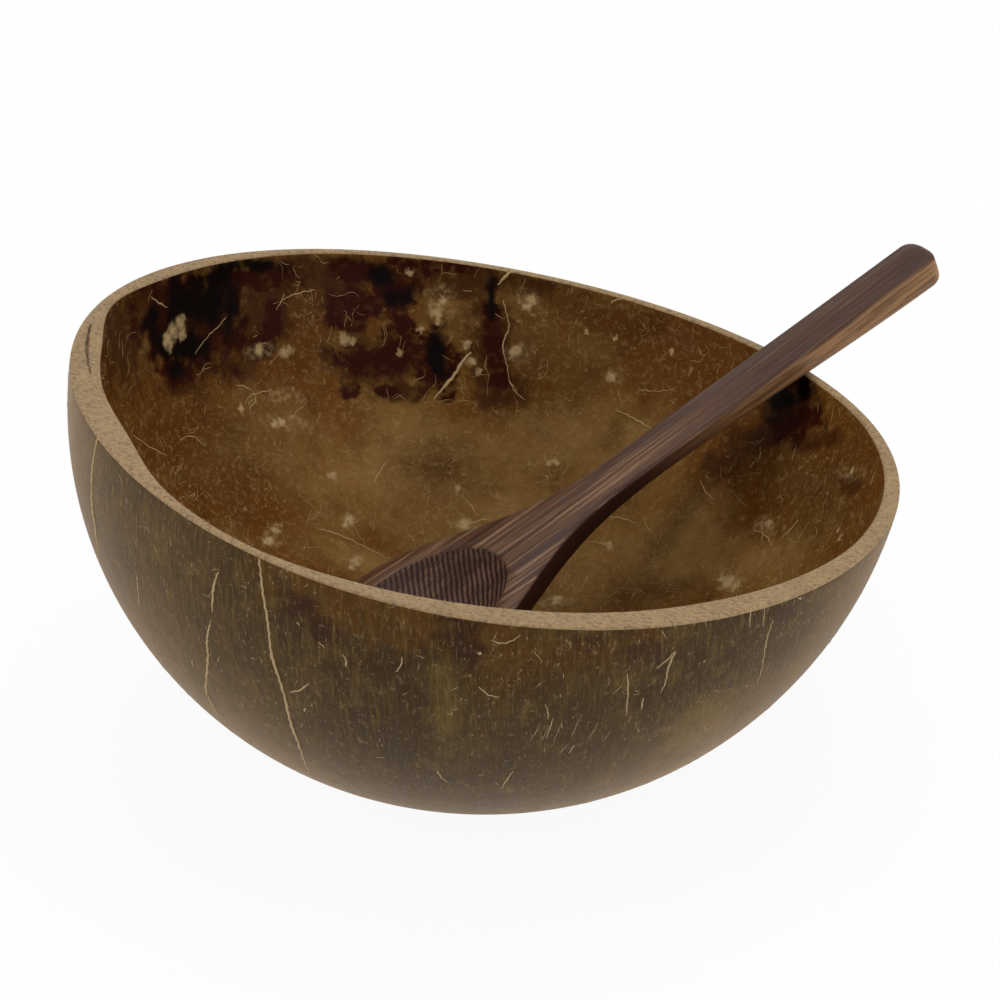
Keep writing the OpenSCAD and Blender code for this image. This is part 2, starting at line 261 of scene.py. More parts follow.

# Stains by kind, placed on the photograph: middle across, middle down, half width and half height, in
# pixels, and the lean of the long way, in degrees. The shade kind is painted shade in good part, and two
# of the black rows inside are the painted shadow under the handle
INSIDE_STAINS = {
    "black": (
        (210, 296, 30, 46, 0), (184, 348, 34, 22, 0), (176, 368, 12, 12, 0), (152, 322, 12, 26, 0),
        (196, 264, 40, 12, 12), (250, 266, 40, 10, 0), (378, 276, 18, 14, 0), (402, 296, 20, 14, 0),
        (437, 356, 12, 38, 4), (492, 298, 8, 26, 0), (186, 302, 30, 36, 0), (226, 316, 20, 30, 0),
        # The rows at 786 and 802 across are painted shadow: the shade under the handle where it crosses the
        # rim
        (166, 350, 12, 18, 0), (786, 398, 20, 18, 0), (802, 388, 14, 22, 0),
    ),
    "red": (
        (190, 318, 60, 56, 0), (236, 336, 14, 22, 0), (178, 372, 24, 14, 0), (272, 316, 9, 24, 0),
        (356, 306, 36, 24, 0), (394, 284, 30, 30, 0), (404, 340, 30, 22, 0), (436, 360, 22, 44, 0),
        (353, 390, 12, 8, 0), (386, 391, 12, 9, 0), (442, 399, 16, 6, 0), (494, 340, 11, 50, 2),
        (440, 266, 44, 9, 0), (262, 343, 16, 16, 0), (342, 316, 22, 20, 0), (374, 360, 36, 18, 0),
        (434, 370, 22, 34, 0), (498, 372, 13, 26, 0), (262, 278, 44, 14, -6), (372, 272, 60, 14, 0),
        (796, 424, 30, 18, 20),
    ),
    "umber": (
        (262, 304, 40, 48, 0), (120, 340, 34, 62, 0), (150, 300, 24, 30, 0), (310, 270, 80, 18, 0),
        (200, 330, 80, 66, 0), (250, 280, 60, 24, 10), (268, 336, 18, 14, 0), (180, 386, 28, 12, 0),
        (344, 290, 40, 40, 0), (380, 360, 58, 38, 0), (410, 392, 40, 14, 0), (492, 340, 26, 64, 0),
        (500, 392, 32, 20, 0), (472, 282, 60, 24, 0), (540, 282, 50, 18, -12), (748, 446, 50, 22, 30),
        (792, 412, 44, 32, 0), (818, 440, 30, 16, 0), (850, 484, 13, 13, 0),
    ),
    # Painted shade in part: the leaning row at 692 across and the short one at 660 are the spoon's shadow
    # across the floor, and the rows at 300 and 600 across are the shade under the back of the rim; the
    # others are softer darker patches
    "shade": (
        (530, 350, 60, 60, 0), (436, 467, 24, 20, 0), (434, 466, 40, 30, 0), (815, 480, 60, 60, 0),
        (692, 500, 70, 11, 54), (190, 450, 110, 60, -48), (170, 320, 110, 80, 0), (660, 592, 40, 8, 14),
        (300, 300, 120, 60, 0), (600, 320, 120, 40, -16),
    ),
    "orange": (
        (170, 440, 60, 70, -35), (150, 400, 40, 44, 0), (250, 500, 80, 40, -30), (860, 460, 34, 60, 0),
        (640, 330, 90, 34, -14), (390, 300, 70, 40, 0), (520, 400, 50, 26, 0), (300, 310, 50, 44, 0),
        (196, 500, 60, 40, -40),
    ),
    "olive": (
        (400, 470, 120, 62, 0), (560, 440, 110, 56, 0), (690, 556, 130, 52, 0), (420, 430, 80, 26, 0),
        (700, 530, 60, 50, 30), (360, 560, 70, 20, -20), (640, 450, 60, 50, 0), (760, 560, 70, 30, 20),
        (520, 530, 60, 60, 0),
    ),
    "pale": (
        (262, 350, 24, 9, 0), (286, 350, 14, 8, 0), (280, 396, 22, 10, 0), (438, 303, 18, 22, 0),
        (528, 300, 16, 16, 0), (516, 354, 16, 12, 0), (730, 580, 18, 14, 0), (770, 528, 20, 14, 0),
        (274, 535, 14, 14, 0), (560, 602, 30, 8, 0), (466, 524, 24, 9, 12), (850, 472, 16, 10, 0),
        (288, 424, 28, 9, 0), (612, 376, 12, 10, 0),
    ),
}
OUTSIDE_STAINS = {
    "red": (
        (300, 606, 12, 26, -70), (322, 634, 20, 16, -30), (282, 588, 8, 36, 0), (462, 632, 26, 16, 0),
        (470, 656, 16, 20, -40), (452, 618, 24, 10, 0),
    ),
    "umber": (
        (582, 643, 34, 10, 0), (640, 650, 40, 14, 0), (380, 664, 50, 10, 0),
    ),
    # Painted shade: these darken the lower front of the outside
    "shade": (
        (560, 706, 100, 40, 0), (240, 640, 60, 60, 0), (380, 690, 60, 40, 0), (640, 690, 60, 34, 0),
        (236, 590, 30, 40, 0), (400, 760, 120, 30, -10),
    ),
    "orange": (
        (330, 596, 110, 34, -18), (440, 628, 120, 38, -6), (560, 656, 80, 26, 0), (290, 580, 50, 40, -30),
        (510, 672, 60, 34, 0), (640, 640, 40, 12, 4),
    ),
    "olive": (
        (448, 706, 22, 58, 0), (440, 668, 14, 18, 0), (700, 720, 50, 30, 30),
    ),
}

# Soft pale spots inside: middle across, middle down and radius, in pixels
INSIDE_SPOTS = (
    (167, 340, 9), (173, 332, 11), (180, 323, 9), (170, 347, 7), (182, 334, 7), (345, 339, 7), (352, 341, 5),
    (259, 350, 7), (283, 352, 7), (290, 350, 5), (436, 312, 8), (442, 301, 5), (438, 322, 5), (515, 352, 7),
    (531, 300, 6), (527, 307, 5), (611, 377, 6), (672, 351, 4), (331, 475, 6), (555, 462, 5),
    (549, 463, 4), (274, 424, 5), (281, 422, 5), (457, 488, 4), (349, 519, 7), (345, 524, 5),
    (465, 525, 7), (356, 561, 7), (353, 568, 4), (728, 581, 9), (735, 586, 7), (722, 578, 6),
    (557, 600, 6), (609, 546, 5), (840, 537, 5), (838, 530, 4), (852, 471, 4), (768, 524, 6),
    (409, 272, 5), (472, 362, 6), (420, 330, 4), (399, 352, 4), (586, 331, 3), (616, 338, 3),
    (268, 541, 6), (276, 530, 6), (241, 408, 5), (466, 345, 5), (479, 372, 4),
)

# Fibres that can be told one by one: radius at the middle in millimetres, then places on the photograph
INSIDE_STREAKS = (
    (0.34, ((471, 352), (462, 362), (455, 374), (445, 386), (434, 399))),
    (0.32, ((511, 271), (505, 277), (498, 285))),
    (0.13, ((503, 300), (506, 312), (509, 327), (504, 340), (503, 350), (507, 366), (509, 380))),
    (0.12, ((509, 380), (514, 390), (520, 396), (525, 400))),
    (0.12, ((283, 300), (290, 296), (303, 292), (315, 290))),
    (0.10, ((276, 310), (281, 302), (284, 294))),
    (0.10, ((226, 317), (218, 327), (210, 334), (201, 345), (195, 354))),
    (0.17, ((151, 297), (159, 303), (168, 308))),
    (0.14, ((386, 462), (380, 471), (374, 482))),
    (0.15, ((318, 529), (328, 531), (339, 535), (355, 542), (371, 550), (389, 559))),
    (0.17, ((615, 410), (625, 414), (633, 418), (643, 424), (652, 429))),
    (0.10, ((639, 389), (650, 391), (662, 391), (674, 389))),
    (0.14, ((588, 541), (600, 543), (612, 549))),
    (0.11, ((603, 517), (615, 517), (628, 520), (636, 524))),
    (0.18, ((611, 303), (616, 300), (622, 299))),
    (0.12, ((760, 447), (760, 456), (757, 463))),
    (0.10, ((133, 435), (150, 447), (168, 456))),
    (0.09, ((180, 440), (192, 436), (206, 447))),
    (0.10, ((462, 497), (470, 504), (477, 516))),
    (0.12, ((466, 526), (478, 521), (490, 519))),
    (0.10, ((245, 404), (250, 396), (262, 392), (272, 390))),
    (0.10, ((236, 385), (248, 388), (256, 398), (250, 408))),
    (0.12, ((780, 540), (790, 530), (798, 520))),
    (0.10, ((755, 530), (766, 536), (772, 546))),
    (0.10, ((700, 480), (706, 492), (716, 500))),
)
OUTSIDE_STREAKS = (
    (0.27, ((98, 437), (95, 450), (93, 465), (92, 480), (92, 494), (93, 510), (95, 523), (98, 550))),
    (0.27, ((218, 572), (215, 581), (213, 592), (212, 612))),
    (0.26, ((210, 624), (208, 632), (207, 643), (208, 657), (207, 672), (206, 690), (210, 700), (218, 716))),
    (0.29, ((259, 559), (261, 575), (263, 593), (267, 616), (269, 633), (271, 651), (275, 666), (280, 681),
            (285, 698), (289, 716), (293, 729), (298, 742), (303, 757), (309, 773))),
    (0.14, ((137, 575), (138, 590), (140, 607))),
    (0.17, ((343, 655), (346, 660), (346, 667))),
    (0.14, ((402, 657), (401, 665), (396, 672))),
    (0.17, ((437, 771), (442, 778), (450, 783))),
    (0.16, ((513, 771), (508, 778), (501, 789))),
    (0.13, ((290, 692), (300, 690), (309, 683))),
    (0.13, ((479, 687), (489, 695), (500, 697))),
    (0.15, ((675, 651), (668, 659), (656, 669))),
    (0.19, ((675, 652), (668, 668), (666, 680), (661, 692))),
    (0.15, ((627, 673), (628, 690), (626, 716))),
    (0.15, ((773, 620), (768, 635), (765, 649), (762, 668), (757, 684))),
    (0.14, ((765, 606), (764, 616), (763, 627))),
    (0.13, ((751, 610), (750, 619), (750, 628))),
    (0.12, ((800, 668), (796, 672), (792, 676))),
    (0.13, ((643, 698), (641, 710))),
    (0.12, ((574, 745), (569, 753))),
    (0.12, ((545, 704), (548, 712), (548, 720))),
    (0.11, ((553, 718), (550, 728), (546, 738))),
    (0.06, ((540, 723), (536, 732), (530, 741))),
    (0.05, ((549, 726), (545, 734), (542, 741))),
    (0.06, ((560, 726), (557, 734), (553, 742))),
    (0.06, ((580, 717), (576, 727), (571, 737))),
    (0.06, ((598, 722), (594, 731), (588, 738))),
    (0.05, ((612, 730), (607, 736), (604, 741))),
    (0.11, ((491, 640), (499, 643), (509, 642), (520, 636))),
    (0.12, ((318, 642), (325, 648))),
    (0.12, ((192, 659), (193, 667))),
    (0.30, ((478, 653), (481, 654))),
    (0.24, ((798, 598), (801, 599))),
    (0.20, ((297, 622), (299, 625))),
    (0.20, ((703, 662), (706, 661))),
    (0.18, ((451, 714), (453, 713))),
    (0.18, ((304, 711), (306, 708))),
)
# The dark crack along the left tip of the rim
RIM_CRACK = (0.32, ((91, 324), (88, 336), (87, 350), (88, 362), (91, 374)))
# Points made from each place of a path, how far they stray from it, in pixels, and how fast, in radians
# from point to point
PATH_STEPS = 5
STREAK_WOBBLE = 0.45
WOBBLE_ACROSS = 2.3
WOBBLE_DOWN = 1.7

# A stain's value in its middle, how much it has lost where its half size ends, and the value at its edge
STAIN_PEAK = 1.15
STAIN_FALL = 0.65
STAIN_EDGE = 0.42
# Waves that make the stains where the photograph doesn't show the shell: their scale, the shift between the
# kinds of stain, how much they tell and how much is taken off them
HIDDEN_PITCH = 21 * MM
HIDDEN_SHIFT = 1.7
HIDDEN_STRENGTH = 0.34
HIDDEN_LOSS = 0.22
# How far noise moves a place before it is measured from a soft spot's middle
SPOT_WOBBLE = 2.4 * MM
# Where a soft spot is gone, as a share of its radius, and where it starts to fade, as a share of that
SPOT_SPREAD = 1.25
SPOT_CORE = 0.25

# Sides of a fibre's section and points along a scattered one
FIBRE_SIDES = 5
FIBRE_POINTS = 8
# Part of a sine wave that tapers a fibre towards both ends, and the power that fills it out
TAPER_ENDS = (0.1, 0.94)
TAPER_POWER = 0.45
# How deep a fibre lies in its surface, as a share of its radius
SUNK_SHARE = 0.25
# Shortest scattered fibre as a share of the longest, how much the short ones prevail, and their seed
SHORTEST_SHARE = 0.2
LENGTH_POWER = 1.8
LENGTH_SEED = 3
# Share of the scattered fibres that is kept where there is no stain, and how much of it each kind of stain
# takes. What is left is held between 0 and 1
FIBRES_CLEAR = 1.35
FIBRES_LOST = {"black": 1.3, "red": 0.8}

# Types of the sockets of trees
NUMBER = "NodeSocketFloat"
VECTOR = "NodeSocketVector"
GEOMETRY = "NodeSocketGeometry"


def unit(vectors):
    """The same directions, each one long."""
    return vectors / np.linalg.norm(vectors, axis=-1, keepdims=True)


def smooth(share_of_way):
    """Eases 0 to 1 in and out."""
    t = np.clip(share_of_way, 0.0, 1.0)
    return t * t * (3 - 2 * t)


def blend(a, b, share_of_way):
    """A value on the way from a to b."""
    return a + (b - a) * share_of_way


def smooth_between(before, a, b, after, s):
    """A value on the smooth curve from a to b that also minds the values on either side of them."""
    start, end = (b - before) / 2, (after - a) / 2
    return a + s * (start + s * (3 * (b - a) - 2 * start - end + s * (2 * (a - b) + start + end)))


def curve3(a, b, c, s):
    """A point on the soft corner from a to c round b."""
    return blend(blend(a, b, s), blend(b, c, s), s)


def search(is_low, low, high, count):
    """The angle of each column at which is_low stops being true."""
    low = np.full(count, low)
    high = np.full(count, high)
    for _ in range(SEARCH_STEPS):
        middle = (low + high) / 2
        below = is_low(middle)
        low = np.where(below, middle, low)
        high = np.where(below, high, middle)
    return (low + high) / 2


class Nut:
    """The egg-shaped nut, the cut through it and the wall that is left."""

    def __init__(self, size):
        tilt, turn = size.nut_tilt, size.nut_turn
        self.size = size
        flat = math.cos(tilt)
        self.along = np.array((flat * math.cos(turn), flat * math.sin(turn), math.sin(tilt)))
        self.across = np.array((math.sin(turn), -math.cos(turn), 0.0))
        self.up = np.cross(self.across, self.along)
        self.halves = np.array((size.nut_l, size.nut_w, size.nut_h)) / 2
        half_l, half_w, half_h = self.halves
        lean = half_l**2 * self.along[2] * self.along + half_h**2 * self.up[2] * self.up
        self.middle = lean / lean[2] * (half_h - size.foot_cut)

    def shares(self, vectors):
        """Parts of vectors along the nut's three axes, as shares of its half sizes."""
        axes = (self.along, self.across, self.up)
        return [vectors @ axis / half for axis, half in zip(axes, self.halves)]

    def skin(self, turn, rise):
        """Places on the nut's skin in directions seen from its middle."""
        flat = np.cos(rise)
        heading = np.stack((flat * np.cos(turn), flat * np.sin(turn), np.sin(rise)), -1)
        a, b, c = self.shares(heading)
        reach = np.zeros_like(a)
        for _ in range(SKIN_STEPS):
            reach = 1 / np.sqrt(a * a + (b * b + c * c) / (1 - self.size.taper * reach * a) ** 2)
        return self.middle + heading * reach[..., None]

    def steepness(self, places):
        """Slope of the nut's own field, which points outwards."""
        x, y, z = self.shares(places - self.middle)
        g = 1 - self.size.taper * x
        parts = (x + (y * y + z * z) * self.size.taper / g**3, y / g**2, z / g**2)
        axes = (self.along, self.across, self.up)
        return sum(2 * (p / half)[..., None] * axis for p, half, axis in zip(parts, self.halves, axes))

    def depth(self, places):
        """How far places lie under the skin."""
        x, y, z = self.shares(places - self.middle)
        f = np.sqrt(x * x + (y * y + z * z) / (1 - self.size.taper * x) ** 2)
        return (1 - f) * 2 * f / np.linalg.norm(self.steepness(places), axis=-1)

    def cut_z(self, places):
        """Height of the cut over places in plan."""
        size = self.size
        x = (places[..., 0] - self.middle[0]) / self.halves[1]
        y = (places[..., 1] - self.middle[1]) / self.halves[0]
        return (size.cut_h - size.drop_right * x - size.drop_back * y + size.bow_side * x * x
                - size.bow_end * y * y - size.twist * x * y)

    def rim_wall(self, turn):
        """Thickness of the wall at the rim, on a smooth curve through the shares."""
        shares = np.array(RIM_WALL_SHARES)
        at = turn / (2 * math.pi) * len(shares)
        i = np.floor(at).astype(int)
        s = at - i
        return self.size.wall * smooth_between(*(shares[(i + k) % len(shares)] for k in (-1, 0, 1, 2)), s)

    def inset(self, turn, rise, thickness):
        """Places set in from the skin."""
        skin = self.skin(turn, rise)
        return skin - unit(self.steepness(skin)) * np.asarray(thickness)[..., None]

    def floored(self, places):
        """The same places with the floor levelled out."""
        floor_t = self.size.floor_t
        over = places[..., 2] - floor_t
        made = places.copy()
        made[..., 2] = floor_t + (over + np.sqrt(over * over + floor_t * floor_t)) / 2
        return made

    def outer_top(self, turn):
        """Rise at which the outside meets the cut."""
        def under(rise):
            places = self.skin(turn, rise)
            return places[..., 2] < self.cut_z(places)
        return search(under, *TOP_RISES, len(turn))

    def inner_top(self, turn):
        """Rise at which the inside meets the cut."""
        def under(rise):
            places = self.inset(turn, rise, self.rim_wall(turn))
            return places[..., 2] < self.cut_z(places)
        return search(under, *TOP_RISES, len(turn))

    def foot_rise(self, turn):
        """Rise at which the outside meets the foot."""
        def under(rise):
            return self.skin(turn, rise)[..., 2] < 0
        return search(under, *FOOT_RISES, len(turn))

    def inner_face(self, turn, top, rise):
        """Places on the inside, under a rim at top."""
        way = (top - rise) * self.halves[2] / self.size.rim_blend
        return self.floored(self.inset(turn, rise, blend(self.rim_wall(turn), self.size.wall, smooth(way))))

    def rim_place(self, turn, s):
        """Places across the rim, from its outer edge to its inner one."""
        outer = self.skin(turn, self.outer_top(turn))
        return blend(outer, self.inset(turn, self.inner_top(turn), self.rim_wall(turn)), s)


class Spoon:
    """The spoon, lying along x from its tip, and how it leans in the bowl."""

    # Squareness of the section under the handle and under the scoop: a share of 1 is an ellipse
    handle_square = 0.4
    scoop_square = 0.9
    # Least share of the top's width that its middle takes, where the hollow is narrower or has ended
    lip_share = 0.3
    # Part of its width by which the handle's end is rounded, and share of the edge that its corner takes
    end_part = 3
    corner_share = 0.25
    # Shares of the ways along and across the spoon in the way over the tool's ridges
    ridge_along = 0.83
    ridge_across = 0.56
    # Two sways of the ridges to the side, by how much and how long, in ridges
    slow_sway = (0.14, 3)
    quick_sway = (0.07, 1.7)
    # Depth that the ridges keep near the tip, and the share of the hollow's depth at which they are whole
    worn_share = 0.14
    ridge_from = 0.06
    # Degrees of the rim to each side of the rest that the handle is tried on
    rest_span = 5
    # Places on the scoop that are tried on the floor: sections, steps under each and places on its top
    seat_sections = 9
    seat_under = 14
    seat_across = 9

    def __init__(self, size, nut):
        self.size = size
        self.nut = nut
        self.hollow_x = size.hollow_l / 2 + size.hollow_lip
        self.end_round = size.handle_w / self.end_part

    def tip_curve(self, x):
        """Height of the scoop's round end, from 0 at the tip to 1."""
        return np.sqrt(np.clip(1 - (1 - np.minimum(x / self.size.scoop_end, 1)) ** 2, 0, 1))

    def neck_curve(self, x):
        """1 at the scoop, easing down to 0 at the neck's end."""
        s = np.clip((x - self.size.scoop_end) / (self.size.neck_x - self.size.scoop_end), 0, 1)
        return (1 + np.cos(math.pi * s)) / 2

    def half(self, x):
        """Half the spoon's width."""
        size = self.size
        body = blend(size.handle_w, size.scoop_w, self.neck_curve(x) ** 2) / 2
        return np.where(x < size.scoop_end, size.scoop_w / 2 * self.tip_curve(x), body)

    def thick(self, x):
        """Thickness of the spoon."""
        size = self.size
        round_end = blend(size.handle_t, size.scoop_t, self.tip_curve(x))
        neck = blend(size.handle_t, size.scoop_t, self.neck_curve(x))
        way = (x - size.neck_x) / (size.spoon_l - size.neck_x)
        handle = blend(size.handle_t, size.handle_end_t, smooth(way))
        return np.where(x < size.scoop_end, round_end, np.where(x < size.neck_x, neck, handle))

    def top(self, x):
        """Height of the flat top."""
        return self.size.bow * ((2 * x / self.size.spoon_l - 1) ** 2 - 1)

    def under(self, x):
        """Height of the underside along the middle."""
        return self.top(x) - self.thick(x)

    def hollow_fall(self, x, y):
        """Depth of the hollow."""
        size = self.size
        bowl = 1 - ((x - self.hollow_x) * 2 / size.hollow_l) ** 2 - (y * 2 / size.hollow_w) ** 2
        return size.hollow_d * np.maximum(0, bowl)

    def hollow_half(self, x):
        """Half the hollow's width."""
        ellipse = np.clip(1 - ((x - self.hollow_x) * 2 / self.size.hollow_l) ** 2, 0, 1)
        return np.maximum(self.half(x) * self.lip_share, self.size.hollow_w / 2 * np.sqrt(ellipse))

    def ridges(self, x, y):
        """Depth of the tool's ridges, which run slantwise across the hollow."""
        size = self.size
        slow, slow_pitch = self.slow_sway
        quick, quick_pitch = self.quick_sway
        sway = (slow * np.sin(y / (slow_pitch * size.ridge))
                + quick * np.sin((2 * x + y) / (quick_pitch * size.ridge)))
        way = x * self.ridge_along - y * self.ridge_across + size.ridge * sway
        worn = blend(self.worn_share, 1, smooth((x - size.hollow_lip) / size.scoop_end))
        inside = smooth(self.hollow_fall(x, y) / (size.hollow_d * self.ridge_from)) * worn
        return size.ridge_d * inside * (0.5 - 0.5 * np.cos(2 * math.pi * way / size.ridge))

    def sections(self, x, trim, thin, under_steps, across_shares, with_ridges):
        """Rings of points round the spoon at each x: along the underside, then across the top."""
        size = self.size
        edge = size.edge
        half = np.maximum(edge, self.half(x) - trim)[:, None]
        top = (self.top(x) - thin)[:, None]
        deep = np.maximum(edge, self.thick(x) - 2 * thin - edge)[:, None]
        square = blend(self.handle_square, self.scoop_square,
                       smooth((size.neck_x - x) / (size.neck_x - size.scoop_end)))[:, None]
        lip = np.minimum(self.hollow_half(x)[:, None], half - edge)
        a = np.linspace(0, math.pi, under_steps + 1)[None, :]
        cosine = np.cos(a)
        sides = half * np.sign(cosine) * np.abs(cosine) ** square
        below = top - edge - deep * np.abs(np.sin(a)) ** square
        across = lip * np.asarray(across_shares)[None, :]
        along = x[:, None]
        fall = self.hollow_fall(along, across)
        if with_ridges:
            fall = fall + self.ridges(along, across)
        cut = edge * self.corner_share
        y = np.concatenate((sides, cut - half, across, half - cut), 1)
        z = np.concatenate((below, top - cut, top - fall, top - cut), 1)
        return np.stack((np.broadcast_to(along, y.shape), y, z), -1)

    def lean(self):
        """Slope and height at which the handle lies on the rim with the tip just over the floor."""
        size, nut = self.size, self.nut
        turn = np.array((size.rest_turn,))
        self.rest = nut.rim_place(turn, 1)[0]
        self.ahead = np.array((math.cos(size.spoon_turn), math.sin(size.spoon_turn), 0))
        self.aside = np.array((-math.sin(size.spoon_turn), math.cos(size.spoon_turn), 0))
        turns = size.rest_turn + np.radians(np.arange(-self.rest_span, self.rest_span + 1))
        places = np.concatenate([nut.rim_place(turns, s) for s in (0, 0.5, 1)])
        places = places[np.abs((places - self.rest) @ self.aside) < size.handle_w / 2]
        ways = (places - self.rest) @ self.ahead
        numbers = np.arange(self.seat_sections)
        x = size.scoop_end * (1 - np.cos(np.radians(90) * (numbers + 1) / self.seat_sections))
        across = np.linspace(-1, 1, self.seat_across)
        scoop = self.sections(x, 0, 0, self.seat_under, across, False).reshape(-1, 3)

        def spoon_z(slope):
            x = size.rest_x + ways
            for _ in range(HANDLE_STEPS):
                lift = (self.under(x) - self.under(size.rest_x)) * math.sin(slope)
                x = size.rest_x + (ways + lift) / math.cos(slope)
            under_z = x * math.sin(slope) + self.under(x) * math.cos(slope)
            return np.max(places[:, 2] - under_z) + size.seat_gap / math.cos(slope)

        low, high = SPOON_SLOPES
        for _ in range(SEARCH_STEPS):
            self.slope = (low + high) / 2
            self.height = spoon_z(self.slope)
            placed = self.put(scoop)
            wall = placed.copy()
            wall[:, 2] += nut.size.wall - nut.depth(placed)
            if np.min(placed[:, 2] - nut.floored(wall)[:, 2]) > size.seat_gap:
                low = self.slope
            else:
                high = self.slope

    def put(self, points):
        """Points of the spoon in the part's frame."""
        size = self.size
        x, y, z = points[..., 0:1], points[..., 1:2], points[..., 2:3]
        over = z - self.under(size.rest_x)
        plan = (x - size.rest_x) * math.cos(self.slope) - over * math.sin(self.slope)
        start = np.array((self.rest[0], self.rest[1], self.height))
        rise = x * math.sin(self.slope) + z * math.cos(self.slope)
        return start + self.ahead * plan + self.aside * y + np.array((0, 0, 1)) * rise


class PhotoCamera:
    """The photograph's camera: it turns places into pixels and pixels into rays."""

    def __init__(self, stage):
        rise = stage.elevation
        self.stage = stage
        self.right = np.array((1.0, 0.0, 0.0))
        self.up = np.array((0.0, math.sin(rise), math.cos(rise)))
        self.forward = np.array((0.0, math.cos(rise), -math.sin(rise)))
        self.place = np.array(stage.aim) - self.forward * stage.distance

    def pixels(self, points):
        """Where points show in the photograph, and how far away they are."""
        seen = points - self.place
        away = seen @ self.forward
        across = self.stage.middle_x + self.stage.focal * (seen @ self.right) / away
        down = self.stage.middle_y - self.stage.focal * (seen @ self.up) / away
        return across, down, away

    def ray(self, across, down):
        """Direction from the camera through a pixel."""
        x = (across - self.stage.middle_x) / self.stage.focal
        y = (self.stage.middle_y - down) / self.stage.focal
        return Vector(unit(self.forward + self.right * x + self.up * y))


def keep_inside(points):
    """Points held in the CAD model's box, which a finer mesh passes by a few hundredths of a millimetre."""
    return np.clip(points, np.array(CAD_BOX[0]), np.array(CAD_BOX[1]))


def new_object(name, points, faces, materials=(), edges=()):
    """A smooth mesh object at the origin."""
    mesh = bpy.data.meshes.new(name)
    mesh.from_pydata(np.asarray(points).tolist(), list(edges), faces)
    for material in materials:
        mesh.materials.append(material)
    if faces:
        mesh.polygons.foreach_set("use_smooth", [True] * len(mesh.polygons))
    mesh.update()
    made = bpy.data.objects.new(name, mesh)
    bpy.context.scene.collection.objects.link(made)
    return made


def store(made, name, values):
    """Puts a number or a vector on each point of a mesh."""
    values = np.asarray(values, dtype=float)
    if values.ndim == 1:
        made.data.attributes.new(name, "FLOAT", "POINT").data.foreach_set("value", values)
    else:
        made.data.attributes.new(name, "FLOAT_VECTOR", "POINT").data.foreach_set("vector", values.ravel())


def shown(sockets):
    """The sockets of a node that its settings leave in use."""
    return (socket for socket in sockets if socket.enabled)


class Nodes:
    """Adds nodes to a tree. A value that is a socket is linked, and any other is set."""

    def __init__(self, tree):
        self.tree = tree

    def fill(self, socket, value):
        if isinstance(value, bpy.types.NodeSocket):
            self.tree.links.new(value, socket)
        elif socket.type == "RGBA" and len(value) == 3:
            socket.default_value = (*value, 1)
        else:
            socket.default_value = value

    def fill_all(self, node, values):
        """Fills inputs of a node by their names."""
        for name, value in values.items():
            self.fill(node.inputs[name], value)

    def add(self, kind, sockets=None, **settings):
        made = self.tree.nodes.new(kind)
        for name, value in settings.items():
            setattr(made, name, value)
        self.fill_all(made, sockets or {})
        return made

    def out(self, kind, sockets=None, **settings):
        """What a new node puts out first."""
        return self.add(kind, sockets, **settings).outputs[0]

    def group(self, name, **sockets):
        """A shared effect with values of its own. Its group is built when it is first asked for."""
        tree = bpy.data.node_groups.get(name) or SHADER_GROUPS[name]()
        values = {label.capitalize(): value for label, value in sockets.items()}
        return self.out("ShaderNodeGroup", values, node_tree=tree)

    def object_place(self):
        """Places in the part's own frame."""
        return self.add("ShaderNodeTexCoord").outputs["Object"]

    def noise(self, place, scale, detail=3.0, rough=0.55, distortion=0.0, output=0):
        """Noise from 0 to 1 at a place, with its scale in waves to the metre."""
        sockets = {"Vector": place, "Scale": scale, "Detail": detail, "Roughness": rough,
                   "Distortion": distortion}
        return self.add("ShaderNodeTexNoise", sockets).outputs[output]

    def stretched(self, place, scale):
        """The same place on a pattern that is scaled by axis."""
        return self.out("ShaderNodeMapping", {"Vector": place, "Scale": scale})

    def between(self, value, low, high, to_low=0.0, to_high=1.0):
        """0 where a value is under low and 1 where it is over high, eased."""
        sockets = {"Value": value, "From Min": low, "From Max": high, "To Min": to_low, "To Max": to_high}
        return self.out("ShaderNodeMapRange", sockets, interpolation_type="SMOOTHSTEP")

    def below(self, value, low, high):
        """1 where a value is under low and 0 where it is over high, eased."""
        return self.between(value, low, high, 1.0, 0.0)

    def in_order(self, node, values):
        """Fills the inputs that a node has in use, in their order, and gives what it puts out."""
        for socket, value in zip(shown(node.inputs), values):
            self.fill(socket, value)
        return next(shown(node.outputs))

    def math(self, operation, *values):
        return self.in_order(self.add("ShaderNodeMath", operation=operation), values)

    def vector(self, operation, *values):
        return self.in_order(self.add("ShaderNodeVectorMath", operation=operation), values)

    def times(self, first, second):
        return self.math("MULTIPLY", first, second)

    def blend(self, value, low, high):
        """A value from 0 to 1 moved to the range from low to high."""
        return self.math("ADD", self.times(value, high - low), low)

    def random(self, seed, low, high):
        """A random number from low to high for each point."""
        made = self.add("FunctionNodeRandomValue", {"Seed": seed}, data_type="FLOAT")
        return self.in_order(made, (low, high))

    def mix(self, mask, first, second):
        """First colour where the mask is 0 and second where it is 1."""
        made = self.add("ShaderNodeMix", data_type="RGBA", clamp_factor=True)
        return self.in_order(made, (mask, first, second))

    def layered(self, base, layers):
        """Lays colours over a base, one after another: mask, strength and colour of each."""
        for mask, strength, tint in layers:
            base = self.mix(self.times(mask, strength), base, tint)
        return base

    def attribute(self, name, output="Fac"):
        """A number or a vector stored on each point, as a material reads it."""
        return self.add("ShaderNodeAttribute", attribute_name=name).outputs[output]

    def stored(self, name):
        """A number stored on each point, as a Geometry Nodes tree reads it."""
        return self.out("GeometryNodeInputNamedAttribute", {"Name": name}, data_type="FLOAT")

    def bump(self, height, depth):
        return self.out("ShaderNodeBump", {"Height": height, "Strength": 1.0, "Distance": depth})


